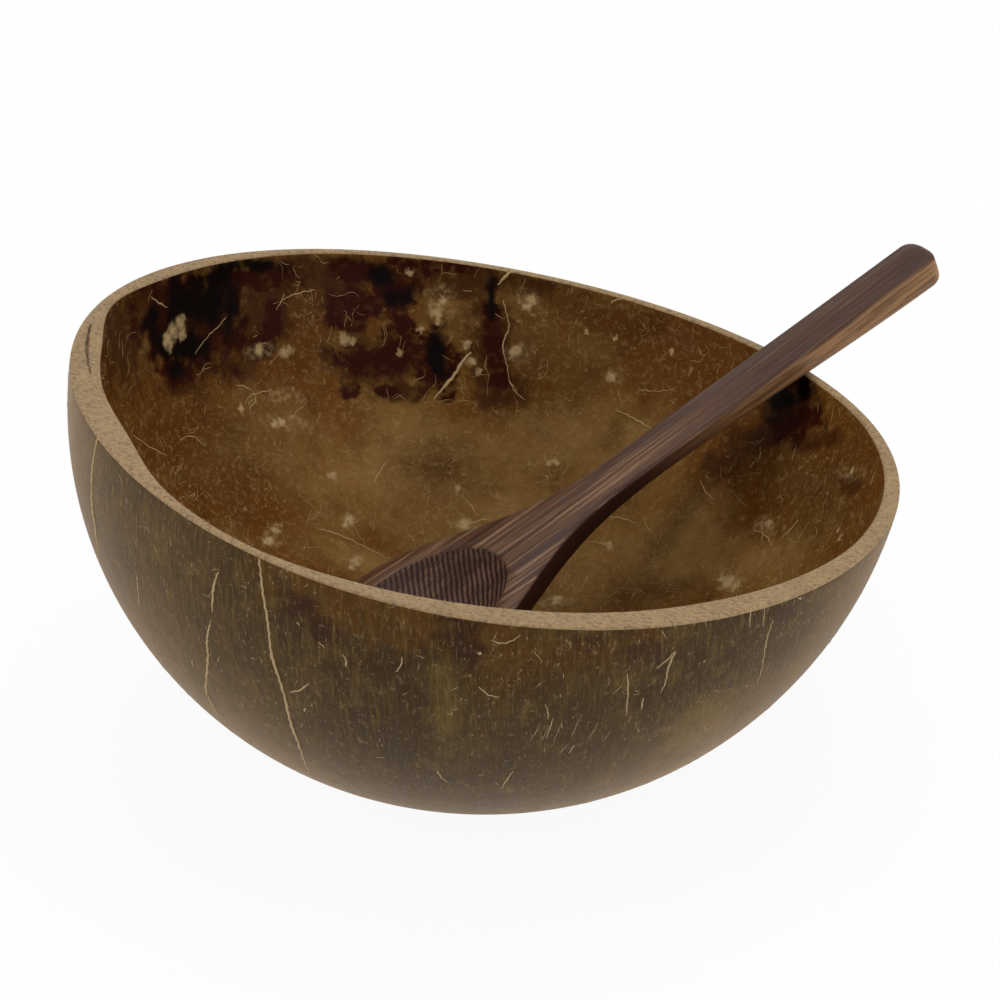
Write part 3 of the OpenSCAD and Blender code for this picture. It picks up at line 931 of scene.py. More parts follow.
def new_tree(name, kind, inputs, output):
    """A new tree of named inputs and one output, its nodes, the sockets it is given and the one it fills."""
    tree = bpy.data.node_groups.new(name, kind)
    for label, socket_type in inputs.items():
        tree.interface.new_socket(label, in_out="INPUT", socket_type=socket_type)
    label, socket_type = output
    tree.interface.new_socket(label, in_out="OUTPUT", socket_type=socket_type)
    nodes = Nodes(tree)
    return tree, nodes, nodes.add("NodeGroupInput").outputs, nodes.add("NodeGroupOutput").inputs[0]


def mask_tree(name, inputs):
    """A new shader group that puts out one mask."""
    return new_tree(name, "ShaderNodeTree", inputs, ("Mask", NUMBER))


def fibre_lines_group():
    """Thin curly lines: the places where a slow noise crosses its middle, broken up by a second noise."""
    inputs = {"Place": VECTOR, "Scale": NUMBER, "Width": NUMBER, "Gaps": NUMBER}
    tree, nodes, given, put = mask_tree("fibre_lines", inputs)
    slow = nodes.noise(given["Place"], given["Scale"], 1.5, 0.5, 1.4)
    off = nodes.math("ABSOLUTE", nodes.math("SUBTRACT", slow, 0.5))
    line = nodes.below(off, 0.0, given["Width"])
    parts = nodes.noise(given["Place"], nodes.times(given["Scale"], 1.6), 1.0)
    kept = nodes.between(parts, given["Gaps"], nodes.math("ADD", given["Gaps"], 0.06))
    nodes.fill(put, nodes.times(line, kept))
    return tree


def ragged_stain_group():
    """A stain's mask with its edge broken up by a rough noise."""
    inputs = {"Stain": NUMBER, "Place": VECTOR, "Ragged": NUMBER, "Soft": NUMBER}
    tree, nodes, given, put = mask_tree("ragged_stain", inputs)
    rough = nodes.math("SUBTRACT", nodes.noise(given["Place"], 240.0, 5.0, 0.62), 0.5)
    edge = nodes.math("ADD", given["Stain"], nodes.times(rough, given["Ragged"]))
    nodes.fill(put, nodes.between(edge, STAIN_EDGE, nodes.math("ADD", STAIN_EDGE, given["Soft"])))
    return tree


def fine_specks_group():
    """Small round specks, only in some of the cells of a pattern."""
    inputs = {"Place": VECTOR, "Scale": NUMBER, "Size": NUMBER, "Share": NUMBER}
    tree, nodes, given, put = mask_tree("fine_specks", inputs)
    cells = nodes.add("ShaderNodeTexVoronoi", {"Vector": given["Place"], "Scale": given["Scale"]}).outputs
    spot = nodes.below(cells["Distance"], nodes.times(given["Size"], 0.5), given["Size"])
    chosen = nodes.math("LESS_THAN", cells["Color"], given["Share"])
    nodes.fill(put, nodes.times(spot, chosen))
    return tree


# The effects that several materials share
SHADER_GROUPS = {
    "fibre_lines": fibre_lines_group,
    "ragged_stain": ragged_stain_group,
    "fine_specks": fine_specks_group,
}


def new_material(name):
    """A material with an empty tree but for its shader and output."""
    material = bpy.data.materials.new(name)
    material.use_nodes = True
    nodes = Nodes(material.node_tree)
    return material, nodes, material.node_tree.nodes["Principled BSDF"]


def stain_mask(nodes, place, kind, ragged, soft):
    """The mask of one kind of stain, with a ragged edge."""
    return nodes.group("ragged_stain", stain=nodes.attribute(kind + "_stain"), place=place, ragged=ragged,
                       soft=soft)


def spot_mask(nodes, place, spots):
    """A mask of soft spots: 1 at the middle of each and 0 past its radius."""
    wobble = nodes.noise(place, 850.0, 4.0, 0.5, output="Color")
    shifted = nodes.vector("MULTIPLY_ADD", wobble, (SPOT_WOBBLE,) * 3, place)
    whole = None
    for middle, radius in spots:
        gap = nodes.vector("DISTANCE", shifted, np.array(middle) + SPOT_WOBBLE / 2)
        spot = nodes.below(gap, radius * SPOT_CORE, radius)
        whole = spot if whole is None else nodes.math("MAXIMUM", whole, spot)
    return whole


def inside_material(finish, spots):
    """Worn brown inside of the shell, with stains, soft pale spots and fine curly fibres."""
    material, nodes, shader = new_material("shell_inside")
    place = nodes.object_place()
    broad = nodes.noise(place, 34.0, 4.0, 0.6)
    cloud = nodes.noise(place, 150.0, 5.0, 0.62)
    fine = nodes.noise(place, 900.0, 4.0, 0.6)
    holes = nodes.between(nodes.noise(place, 380.0, 5.0, 0.7), 0.34, 0.52, 0.55, 1.0)
    lines = nodes.group("fibre_lines", place=place, scale=330.0, width=0.018, gaps=0.52)
    thin = nodes.group("fibre_lines", place=place, scale=760.0, width=0.03, gaps=0.54)
    ground = nodes.mix(nodes.between(broad, 0.38, 0.64), finish.orange, finish.floor)
    base = nodes.layered(ground, (
        (stain_mask(nodes, place, "orange", 0.9, 0.7), 1.0, finish.orange),
        (stain_mask(nodes, place, "olive", 0.9, 0.8), 0.9, finish.worn),
        (nodes.between(cloud, 0.46, 0.72), 0.45, finish.umber),
        # Painted shade in good part: the spoon's shadow across the floor and the band under the back of the
        # rim, in umber
        (nodes.attribute("shade_stain"), 0.5, finish.umber),
        (nodes.between(fine, 0.5, 0.72), 0.2, finish.fibre),
        (lines, 0.42, finish.fibre),
        (thin, 0.30, finish.fibre),
        (stain_mask(nodes, place, "umber", 1.4, 0.4), nodes.times(holes, 0.95), finish.umber),
        (stain_mask(nodes, place, "red", 1.6, 0.3), holes, finish.red),
        # The black layer also paints the shadow under the handle
        (stain_mask(nodes, place, "black", 1.5, 0.5), 1.0, finish.black),
        (stain_mask(nodes, place, "pale", 1.7, 0.5), nodes.between(fine, 0.4, 0.7, 0.04, 0.4), finish.spot),
        (spot_mask(nodes, place, spots), nodes.between(fine, 0.3, 0.6, 0.5, 0.95), finish.spot),
    ))
    relief = nodes.math("ADD", nodes.times(fine, 0.5), nodes.times(cloud, 0.9))
    nodes.fill_all(shader, {
        "Base Color": base, "Roughness": nodes.between(cloud, 0.3, 0.7, 0.44, 0.6),
        "Specular IOR Level": 0.04, "Normal": nodes.bump(relief, 0.12 * MM),
    })
    return material


def outside_material(finish):
    """Polished outside of the shell: fine upright lines, stains near the rim, specks and a satin coat."""
    material, nodes, shader = new_material("shell_outside")
    place = nodes.object_place()
    grain = nodes.attribute("grain_place", "Vector")
    broad = nodes.noise(place, 30.0, 4.0, 0.6)
    mottle = nodes.noise(place, 190.0, 5.0, 0.65)
    lines = nodes.noise(nodes.stretched(grain, (110, 110, 9)), 1.0, 5.0, 0.68)
    thin = nodes.noise(nodes.stretched(grain, (280, 280, 34)), 1.0, 3.0, 0.6)
    upright = nodes.stretched(grain, (1, 1, 0.4))
    dashes = nodes.group("fine_specks", place=upright, scale=70.0, size=0.15, share=0.34)
    curly = nodes.group("fibre_lines", place=place, scale=560.0, width=0.024, gaps=0.53)
    dots = nodes.group("fine_specks", place=place, scale=620.0, size=0.13, share=0.34)
    ground = nodes.mix(nodes.between(broad, 0.36, 0.66), finish.outside_dark, finish.outside)
    base = nodes.layered(ground, (
        (stain_mask(nodes, place, "olive", 0.9, 0.6), 0.8, finish.olive),
        (stain_mask(nodes, place, "orange", 1.3, 0.42), 1.0, finish.warm),
        (stain_mask(nodes, place, "umber", 1.6, 0.5), 0.8, finish.umber),
        (stain_mask(nodes, place, "red", 1.7, 0.4), 0.85, finish.red),
        # Painted shade: darkens the lower front of the outside
        (nodes.attribute("shade_stain"), 0.45, finish.outside_dark),
        (nodes.between(mottle, 0.5, 0.68), 0.35, finish.olive),
        (nodes.below(mottle, 0.34, 0.5), 0.4, finish.outside_dark),
        (nodes.between(lines, 0.52, 0.66), 0.42, finish.olive),
        (nodes.below(lines, 0.34, 0.48), 0.6, finish.outside_dark),
        (nodes.below(thin, 0.3, 0.44), 0.5, finish.outside_dark),
        (nodes.between(thin, 0.56, 0.74), 0.26, finish.tick),
        (dashes, 0.42, finish.tick),
        (curly, 0.3, finish.tick),
        (dots, 0.4, finish.tick),
    ))
    relief = nodes.math("ADD", nodes.times(lines, 0.7), nodes.times(thin, 0.3))
    nodes.fill_all(shader, {
        "Base Color": base, "Roughness": nodes.between(lines, 0.3, 0.7, 0.4, 0.54),
        "Specular IOR Level": 0.05, "Coat Weight": 0.07, "Coat Roughness": 0.32,
        "Sheen Weight": 0.36, "Sheen Roughness": 0.39, "Sheen Tint": paint(255, 212, 160),
        "Normal": nodes.bump(relief, 0.08 * MM),
    })
    return material


def rim_material(finish):
    """Sanded cut edge: pale, grainy, with darker and lighter specks."""
    material, nodes, shader = new_material("shell_rim")
    place = nodes.object_place()
    grains = nodes.noise(place, 1300.0, 4.0, 0.7)
    clouds = nodes.noise(place, 160.0, 3.0, 0.6)
    bright = nodes.group("fine_specks", place=place, scale=900.0, size=0.28, share=0.35)
    dark = nodes.group("fine_specks", place=place, scale=620.0, size=0.2, share=0.3)
    ground = nodes.mix(nodes.between(grains, 0.44, 0.68), finish.rim, finish.rim_dark)
    base = nodes.layered(ground, (
        (nodes.between(clouds, 0.45, 0.7), 0.35, finish.rim_dark),
        (bright, 0.6, finish.spot),
        (dark, 0.35, finish.rim_dark),
    ))
    nodes.fill_all(shader, {
        "Base Color": base, "Roughness": nodes.between(grains, 0.3, 0.7, 0.6, 0.78),
        "Normal": nodes.bump(grains, 0.14 * MM),
    })
    return material


def fibre_material(name, tint, shade):
    """Dry pale fibre, a little darker in places."""
    material, nodes, shader = new_material(name)
    place = nodes.object_place()
    patches = nodes.noise(place, 420.0, 3.0, 0.6)
    nodes.fill_all(shader, {
        "Base Color": nodes.mix(nodes.between(patches, 0.4, 0.66), tint, shade),
        "Roughness": nodes.between(patches, 0.3, 0.7, 0.55, 0.7), "Specular IOR Level": 0.2,
    })
    return material


def spoon_material(finish):
    """Palm wood: light and dark fibres along the spoon, an orange cut side that turns into painted shade
    towards the scoop, and dark lines in the hollow.
    """
    material, nodes, shader = new_material("palm_wood")
    grain = nodes.attribute("grain_place", "Vector")
    near_end = nodes.attribute("near_end")
    wide = nodes.noise(nodes.stretched(grain, (16, 420, 500)), 1.0, 3.0, 0.55)
    stripes = nodes.noise(nodes.stretched(grain, (34, 1700, 1400)), 1.0, 4.0, 0.62)
    dashes = nodes.noise(nodes.stretched(grain, (190, 3200, 3000)), 1.0, 2.0, 0.5)
    ground = nodes.mix(nodes.between(wide, 0.3, 0.6, 0.25, 1.0), finish.dark, finish.middle)
    top = nodes.layered(ground, (
        (nodes.between(stripes, 0.52, 0.68), 0.6, finish.light),
        (nodes.below(stripes, 0.34, 0.48), 0.75, finish.dark),
        (nodes.between(dashes, 0.54, 0.7), 0.4, finish.dark),
        (near_end, 0.66, finish.dark),
    ))
    # The cut side is orange-brown near the end and painted in shade towards the scoop, where it lies in the
    # bowl
    cut = nodes.mix(near_end, finish.shaded_side, finish.side)
    side = nodes.layered(cut, ((nodes.below(stripes, 0.4, 0.56), 0.55, finish.dark),))
    broken = nodes.times(nodes.math("SUBTRACT", dashes, 0.5), 1.5)
    ridge = nodes.between(nodes.math("ADD", nodes.attribute("ridge"), broken), 0.0, 0.9)
    carved = nodes.mix(ridge, finish.crest, finish.groove)
    hollow = nodes.layered(carved, ((nodes.below(wide, 0.35, 0.6), 0.6, finish.groove),))
    skin = nodes.mix(nodes.attribute("cut_side"), top, side)
    nodes.fill_all(shader, {
        "Base Color": nodes.mix(nodes.attribute("hollow"), skin, hollow),
        "Roughness": nodes.between(stripes, 0.3, 0.7, 0.42, 0.58), "Specular IOR Level": 0.15,
        "Coat Weight": 0.06, "Coat Roughness": 0.35, "Normal": nodes.bump(stripes, 0.09 * MM),
    })
    return material


def ring_faces(count, around):
    """Four-sided faces between rings of points that follow one another."""
    faces = []
    for start in range(0, (count - 1) * around, around):
        after = start + around
        for i in range(around):
            j = (i + 1) % around
            faces.append((start + i, start + j, after + j, after + i))
    return faces


def shell_rings(nut):
    """Rings of points by zone, from under the foot over the rim to the floor, and the floor's middle."""
    size = nut.size
    turn = np.arange(SHELL_COLS) * 2 * math.pi / SHELL_COLS
    foot, out_top, in_top = nut.foot_rise(turn), nut.outer_top(turn), nut.inner_top(turn)
    out_edge = nut.skin(turn, out_top)
    in_edge = nut.inner_face(turn, in_top, in_top)
    round_rise = size.rim_round / nut.halves[2]
    out_end, in_end = out_top - round_rise, in_top - round_rise
    across = unit(in_edge - out_edge) * size.rim_round
    foot_ring = nut.skin(turn, foot)
    foot_ring[:, 2] = 0
    under = [foot_ring * ((i + 0.5) / FOOT_ROWS) * np.array((1, 1, 0)) for i in range(FOOT_ROWS)]
    outside = [foot_ring]
    for i in range(1, OUTER_ROWS):
        rise = blend(foot, out_end, i / OUTER_ROWS)
        ring = nut.skin(turn, rise)
        fade = smooth(i / FOOT_FADE_ROWS) * smooth((OUTER_ROWS - i) / RIM_FADE_ROWS)
        wave = sum((np.sin(a * turn + b * rise) for a, b in OUTSIDE_WAVES), len(OUTSIDE_WAVES))
        depth = size.waves * fade * wave / (2 * len(OUTSIDE_WAVES))
        outside.append(ring - unit(nut.steepness(ring)) * depth[:, None])
    start, end = nut.skin(turn, out_end), nut.inner_face(turn, in_top, in_end)
    out_flat, in_flat = out_edge + across, in_edge - across
    steps = [i / ROUND_ROWS for i in range(ROUND_ROWS + 1)]
    out_round = [curve3(start, out_edge, out_flat, s) for s in steps]
    flat = [blend(out_flat, in_flat, i / RIM_ROWS) for i in range(1, RIM_ROWS)]
    in_round = [curve3(in_flat, in_edge, end, s) for s in steps]
    rises = [blend(in_end, STRAIGHT_DOWN, i / INNER_ROWS) for i in range(1, INNER_ROWS)]
    return {
        "foot": under,
        "outside": outside + out_round[:1],
        "rim": out_round[1:] + flat + in_round[:-2],
        "inside": in_round[-2:] + [nut.inner_face(turn, in_top, rise) for rise in rises],
    }, nut.inner_face(turn[:1], in_top[:1], np.full(1, STRAIGHT_DOWN))


def stain_values(across, down, rows):
    """How deep pixels lie in the stains of one kind: 1 in the middle and 0 well outside."""
    value = np.zeros(len(across))
    for x, y, half_w, half_h, lean in rows:
        a = math.radians(lean)
        along = ((across - x) * math.cos(a) - (down - y) * math.sin(a)) / half_w
        aside = ((across - x) * math.sin(a) + (down - y) * math.cos(a)) / half_h
        value = np.maximum(value, STAIN_PEAK - STAIN_FALL * np.hypot(along, aside))
    return np.clip(value, 0, 1)


def hidden_stains(points, number):
    """Slow stains for the sides that the photograph doesn't show, from a few crossing waves."""
    x, y, z = points.T / HIDDEN_PITCH
    shift = number * HIDDEN_SHIFT
    waves = (np.sin(1.3 * x + 0.7 * z + shift) + np.sin(1.1 * y - 0.9 * z + 2 * shift)
             + np.sin(0.8 * (x + y) + 1.5 * z + 3 * shift))
    return np.clip(HIDDEN_STRENGTH * waves - HIDDEN_LOSS, 0, 1)


def store_stains(shell, points, is_inside, camera):
    """Puts each kind of stain, the painted shade among them, on the shell, as the photograph shows it or,
    out of its sight, by waves.
    """
    normals = np.zeros(len(points) * 3)
    shell.data.vertices.foreach_get("normal", normals)
    facing = np.einsum("ij,ij->i", normals.reshape(-1, 3), camera.place - points) > 0
    across, down, _ = camera.pixels(points)
    for number, (kind, rows) in enumerate(INSIDE_STAINS.items()):
        inside = stain_values(across, down, rows)
        outside = stain_values(across, down, OUTSIDE_STAINS.get(kind, ()))
        seen = np.where(is_inside, inside, outside)
        store(shell, kind + "_stain", np.where(facing, seen, hidden_stains(points, number)))


def surface_tree(shell):
    """A search tree of the shell's faces, for rays from the camera."""
    mesh = shell.data
    return BVHTree.FromPolygons([v.co for v in mesh.vertices], [p.vertices[:] for p in mesh.polygons])


def spots_on(shell, camera):
    """Middle and radius of each soft spot, where the camera's ray through it meets the shell."""
    tree = surface_tree(shell)
    spots = []
    for x, y, radius in INSIDE_SPOTS:
        hit, _, _, away = tree.ray_cast(Vector(camera.place), camera.ray(x, y))
        spots.append((tuple(hit), radius * away / camera.stage.focal * SPOT_SPREAD))
    return spots


class BOWL_OT_shell(bpy.types.Operator):
    """Builds the coconut shell with its cut rim, its stains and its foot"""

    bl_idname = "bowl.shell"
    bl_label = "Coconut shell"
    bl_options = {"REGISTER", "UNDO"}

    def execute(self, context):
        scene = context.scene
        nut, camera = Nut(scene.bowl_shell), PhotoCamera(scene.bowl_stage)
        parts, middle = shell_rings(nut)
        rings = [ring for part in parts.values() for ring in part]
        zones = [zone for zone, part in parts.items() for _ in part]
        points = keep_inside(np.concatenate(rings + [middle, np.zeros((1, 3))]))
        last = (len(rings) - 1) * SHELL_COLS
        floor_pole, foot_pole = last + SHELL_COLS, last + SHELL_COLS + 1
        faces = ring_faces(len(rings), SHELL_COLS)
        for i in range(SHELL_COLS):
            j = (i + 1) % SHELL_COLS
            faces.append((last + i, last + j, floor_pole))
            faces.append((j, i, foot_pole))
        shell = new_object("coconut_shell", points, faces)
        is_inside = np.append(np.repeat([zone == "inside" for zone in zones], SHELL_COLS), (True, False))
        store_stains(shell, points, is_inside, camera)
        plan = points - nut.middle
        way = np.arctan2(plan[:, 1], plan[:, 0])
        store(shell, "grain_place", np.stack((np.cos(way), np.sin(way), plan[:, 2] / nut.halves[2]), -1))
        finish = scene.bowl_finish
        inside = inside_material(finish, spots_on(shell, camera))
        for material in (outside_material(finish), rim_material(finish), inside):
            shell.data.materials.append(material)
        slots = [SLOTS[zone] for zone in zones[:-1] for _ in range(SHELL_COLS)]
        slots += [SLOTS["inside"], SLOTS["foot"]] * SHELL_COLS
        shell.data.polygons.foreach_set("material_index", slots)
        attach(shell, "bowl")
        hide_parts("shell")
        return {"FINISHED"}


def modifier_result(made, name, tree, values):
    """Runs a Geometry Nodes tree on an object, and gives what comes out as a plain mesh object."""
    modifier = made.modifiers.new(tree.name, "NODES")
    modifier.node_group = tree
    for item in tree.interface.items_tree:
        if item.item_type == "SOCKET" and item.in_out == "INPUT" and item.name in values:
            modifier[item.identifier] = values[item.name]
    bpy.context.view_layer.update()
    evaluated = made.evaluated_get(bpy.context.evaluated_depsgraph_get())
    mesh = bpy.data.meshes.new_from_object(evaluated)
    made.modifiers.remove(modifier)
    bpy.data.objects.remove(made)
    mesh.name = name
    result = bpy.data.objects.new(name, mesh)
    bpy.context.scene.collection.objects.link(result)
    if not len(mesh.polygons):
        raise RuntimeError(f"{name} came out empty")
    return result


def fibre_tree(name, inputs):
    """A new Geometry Nodes tree that is given a geometry and a material, with other inputs between them."""
    inputs = {"Geometry": GEOMETRY, **inputs, "Material": "NodeSocketMaterial"}
    return new_tree(name, "GeometryNodeTree", inputs, ("Geometry", GEOMETRY))


def swept(nodes, curve, girth, material):
    """Fibres of a tapering round section along curves, realised and smooth, in their material."""
    along = nodes.out("GeometryNodeSplineParameter")
    rise = nodes.math("SINE", nodes.times(nodes.blend(along, *TAPER_ENDS), math.pi))
    patches = nodes.noise(nodes.out("GeometryNodeInputPosition"), 500.0)
    full = nodes.math("POWER", rise, TAPER_POWER)
    taper = nodes.times(full, nodes.between(patches, 0.35, 0.65, 0.75, 1.2))
    ring = nodes.out("GeometryNodeCurvePrimitiveCircle", {"Resolution": FIBRE_SIDES, "Radius": 1.0})
    sweep = {"Curve": curve, "Profile Curve": ring, "Scale": nodes.times(taper, girth), "Fill Caps": True}
    tube = nodes.out("GeometryNodeCurveToMesh", sweep)
    real = nodes.out("GeometryNodeRealizeInstances", {"Geometry": tube})
    soft = nodes.out("GeometryNodeSetShadeSmooth", {"Geometry": real})
    return nodes.out("GeometryNodeSetMaterial", {"Geometry": soft, "Material": material})


def scattered_tree():
    """Fibres scattered over a surface, curled and laid on it."""
    inputs = {"Density": NUMBER, "Length": NUMBER, "Girth": NUMBER, "Curl": NUMBER, "Lean": NUMBER,
              "Seed": "NodeSocketInt"}
    tree, nodes, given, put = fibre_tree("scattered_fibres", inputs)
    ground, seed = given["Geometry"], given["Seed"]
    clouds = nodes.noise(nodes.out("GeometryNodeInputPosition"), 45.0, 2.0)
    crowd = nodes.between(clouds, 0.35, 0.65, 0.25, 1.6)
    density = nodes.times(nodes.times(given["Density"], nodes.stored("clear")), crowd)
    spread = {"Mesh": ground, "Density": density, "Seed": seed}
    points = nodes.add("GeometryNodeDistributePointsOnFaces", spread).outputs
    way = nodes.random(seed, nodes.times(given["Lean"], -1.0), given["Lean"])
    spin = nodes.out("FunctionNodeAxisAngleToRotation", {"Axis": (0.0, 0.0, 1.0), "Angle": way})
    turn = {"Rotation": points["Rotation"], "Rotate By": spin}
    turned = nodes.out("FunctionNodeRotateRotation", turn, rotation_space="LOCAL")
    line = nodes.out("GeometryNodeCurvePrimitiveLine", {"Start": (0.0, -0.5, 0.0), "End": (0.0, 0.5, 0.0)})
    parts = nodes.out("GeometryNodeResampleCurve", {"Curve": line, "Count": FIBRE_POINTS})
    reach = nodes.math("POWER", nodes.random(LENGTH_SEED, 0.0, 1.0), LENGTH_POWER)
    size = nodes.times(given["Length"], nodes.blend(reach, SHORTEST_SHARE, 1.0))
    laying = {"Points": points["Points"], "Instance": parts, "Rotation": turned, "Scale": size}
    laid = nodes.out("GeometryNodeInstanceOnPoints", laying)
    real = nodes.out("GeometryNodeRealizeInstances", {"Geometry": laid})
    swirl = nodes.noise(nodes.out("GeometryNodeInputPosition"), 260.0, 1.0, 0.5, output="Color")
    curl = nodes.vector("SCALE", nodes.vector("SUBTRACT", swirl, (0.5, 0.5, 0.5)), given["Curl"])
    curled = nodes.out("GeometryNodeSetPosition", {"Geometry": real, "Offset": curl})
    near = nodes.out("GeometryNodeProximity", {"Geometry": ground}, target_element="FACES")
    down = nodes.out("GeometryNodeSetPosition", {"Geometry": curled, "Position": near})
    outward = nodes.add("GeometryNodeSampleNearestSurface", {"Mesh": ground}, data_type="FLOAT_VECTOR")
    nodes.fill(outward.inputs["Value"], nodes.out("GeometryNodeInputNormal"))
    sink = nodes.vector("SCALE", outward.outputs["Value"], nodes.times(given["Girth"], -SUNK_SHARE))
    sunk = nodes.out("GeometryNodeSetPosition", {"Geometry": down, "Offset": sink})
    nodes.fill(put, swept(nodes, sunk, given["Girth"], given["Material"]))
    return tree


def paths_tree():
    """Fibres that follow given paths, with a girth stored on each path."""
    tree, nodes, given, put = fibre_tree("fibres_on_paths", {})
    curve = nodes.out("GeometryNodeMeshToCurve", {"Mesh": given["Geometry"]})
    nodes.fill(put, swept(nodes, curve, nodes.stored("girth"), given["Material"]))
    return tree


def surface_patch(shell, slot):
    """A copy of the shell's faces of one material, to scatter fibres on."""
    mesh = shell.data
    used = [p.vertices[:] for p in mesh.polygons if p.material_index == slot]
    numbers = sorted({v for face in used for v in face})
    renumber = {v: i for i, v in enumerate(numbers)}
    points = [mesh.vertices[v].co[:] for v in numbers]
    patch = new_object("patch", points, [tuple(renumber[v] for v in face) for face in used])
    clear = FIBRES_CLEAR
    for kind, lost in FIBRES_LOST.items():
        values = np.zeros(len(mesh.vertices))
        mesh.attributes[kind + "_stain"].data.foreach_get("value", values)
        clear = clear - lost * values[numbers]
    store(patch, "clear", np.clip(clear, 0, 1))
    return patch


def smooth_path(places):
    """A smooth curve through places on the photograph."""
    ends = [places[0], *places, places[-1]]
    path = []
    for a, b, c, d in zip(ends, ends[1:], ends[2:], ends[3:]):
        for i in range(PATH_STEPS):
            path.append(tuple(smooth_between(*values, i / PATH_STEPS) for values in zip(a, b, c, d)))
    path.append(tuple(places[-1]))
    return path


def streaks(name, shell, rows, material):
    """Lays fibres on the shell along paths that were seen on the photograph."""
    camera = PhotoCamera(bpy.context.scene.bowl_stage)
    tree = surface_tree(shell)
    points, edges, girths = [], [], []
    for girth, places in rows:
        last = None
        for i, (x, y) in enumerate(smooth_path(places)):
            x += STREAK_WOBBLE * math.sin(WOBBLE_ACROSS * i)
            y += STREAK_WOBBLE * math.sin(WOBBLE_DOWN * i)
            hit, normal, _, _ = tree.ray_cast(Vector(camera.place), camera.ray(x, y))
            if hit is None:
                last = None
                continue
            if last is not None:
                edges.append((last, len(points)))
            last = len(points)
            points.append(tuple(hit - normal * (girth * MM * SUNK_SHARE)))
            girths.append(girth * MM)
    guide = new_object(name + "_guide", points, [], edges=edges)
    store(guide, "girth", girths)
    paths = bpy.data.node_groups.get("fibres_on_paths") or paths_tree()
    finish_bowl_piece(modifier_result(guide, name, paths, {"Material": material}))


def scattered(name, shell, zone, values):
    """Scatters fibres over the shell's faces of one zone."""
    tree = bpy.data.node_groups.get("scattered_fibres") or scattered_tree()
    finish_bowl_piece(modifier_result(surface_patch(shell, SLOTS[zone]), name, tree, values))


def finish_bowl_piece(piece):
    """Holds a piece of the bowl in the box and makes it ride on the bowl."""
    points = np.zeros(len(piece.data.vertices) * 3)
    piece.data.vertices.foreach_get("co", points)
    piece.data.vertices.foreach_set("co", keep_inside(points.reshape(-1, 3)).ravel())
    piece.data.update()
    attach(piece, "bowl")


class BOWL_OT_inside_fibres(bpy.types.Operator):
    """Lays the curly pale fibres in the inside of the shell"""

    bl_idname = "bowl.inside_fibres"
    bl_label = "Inside fibres"
    bl_options = {"REGISTER", "UNDO"}

    def execute(self, context):
        size, finish = context.scene.bowl_fibres, context.scene.bowl_finish
        shell = bpy.data.objects["coconut_shell"]
        values = {
            "Density": size.inside_density, "Length": size.inside_l, "Girth": size.inside_girth,
            "Curl": size.inside_curl, "Lean": math.pi, "Seed": size.seed,
            "Material": fibre_material("inside_fibre", finish.fibre, finish.floor),
        }
        scattered("inside_fibres", shell, "inside", values)
        pale = fibre_material("inside_streak", finish.spot, finish.fibre)
        streaks("inside_streaks", shell, INSIDE_STREAKS, pale)
        return {"FINISHED"}


class BOWL_OT_outside_fibres(bpy.types.Operator):
    """Lays the ticks and long streaks in the outside of the shell, and the crack in its rim"""

    bl_idname = "bowl.outside_fibres"
    bl_label = "Outside fibres"
    bl_options = {"REGISTER", "UNDO"}

    def execute(self, context):
        size, finish = context.scene.bowl_fibres, context.scene.bowl_finish
        shell = bpy.data.objects["coconut_shell"]
        values = {
            "Density": size.outside_density, "Length": size.outside_l, "Girth": size.outside_girth,
            "Curl": size.outside_curl, "Lean": size.outside_lean, "Seed": size.seed + 1,
            "Material": fibre_material("outside_tick", finish.tick, finish.olive),
        }
        scattered("outside_ticks", shell, "outside", values)
        pale = fibre_material("outside_streak", finish.spot, finish.tick)
        streaks("outside_streaks", shell, OUTSIDE_STREAKS, pale)
        dark = fibre_material("rim_crack", finish.crack, finish.umber)
        streaks("rim_crack", shell, (RIM_CRACK,), dark)
        return {"FINISHED"}


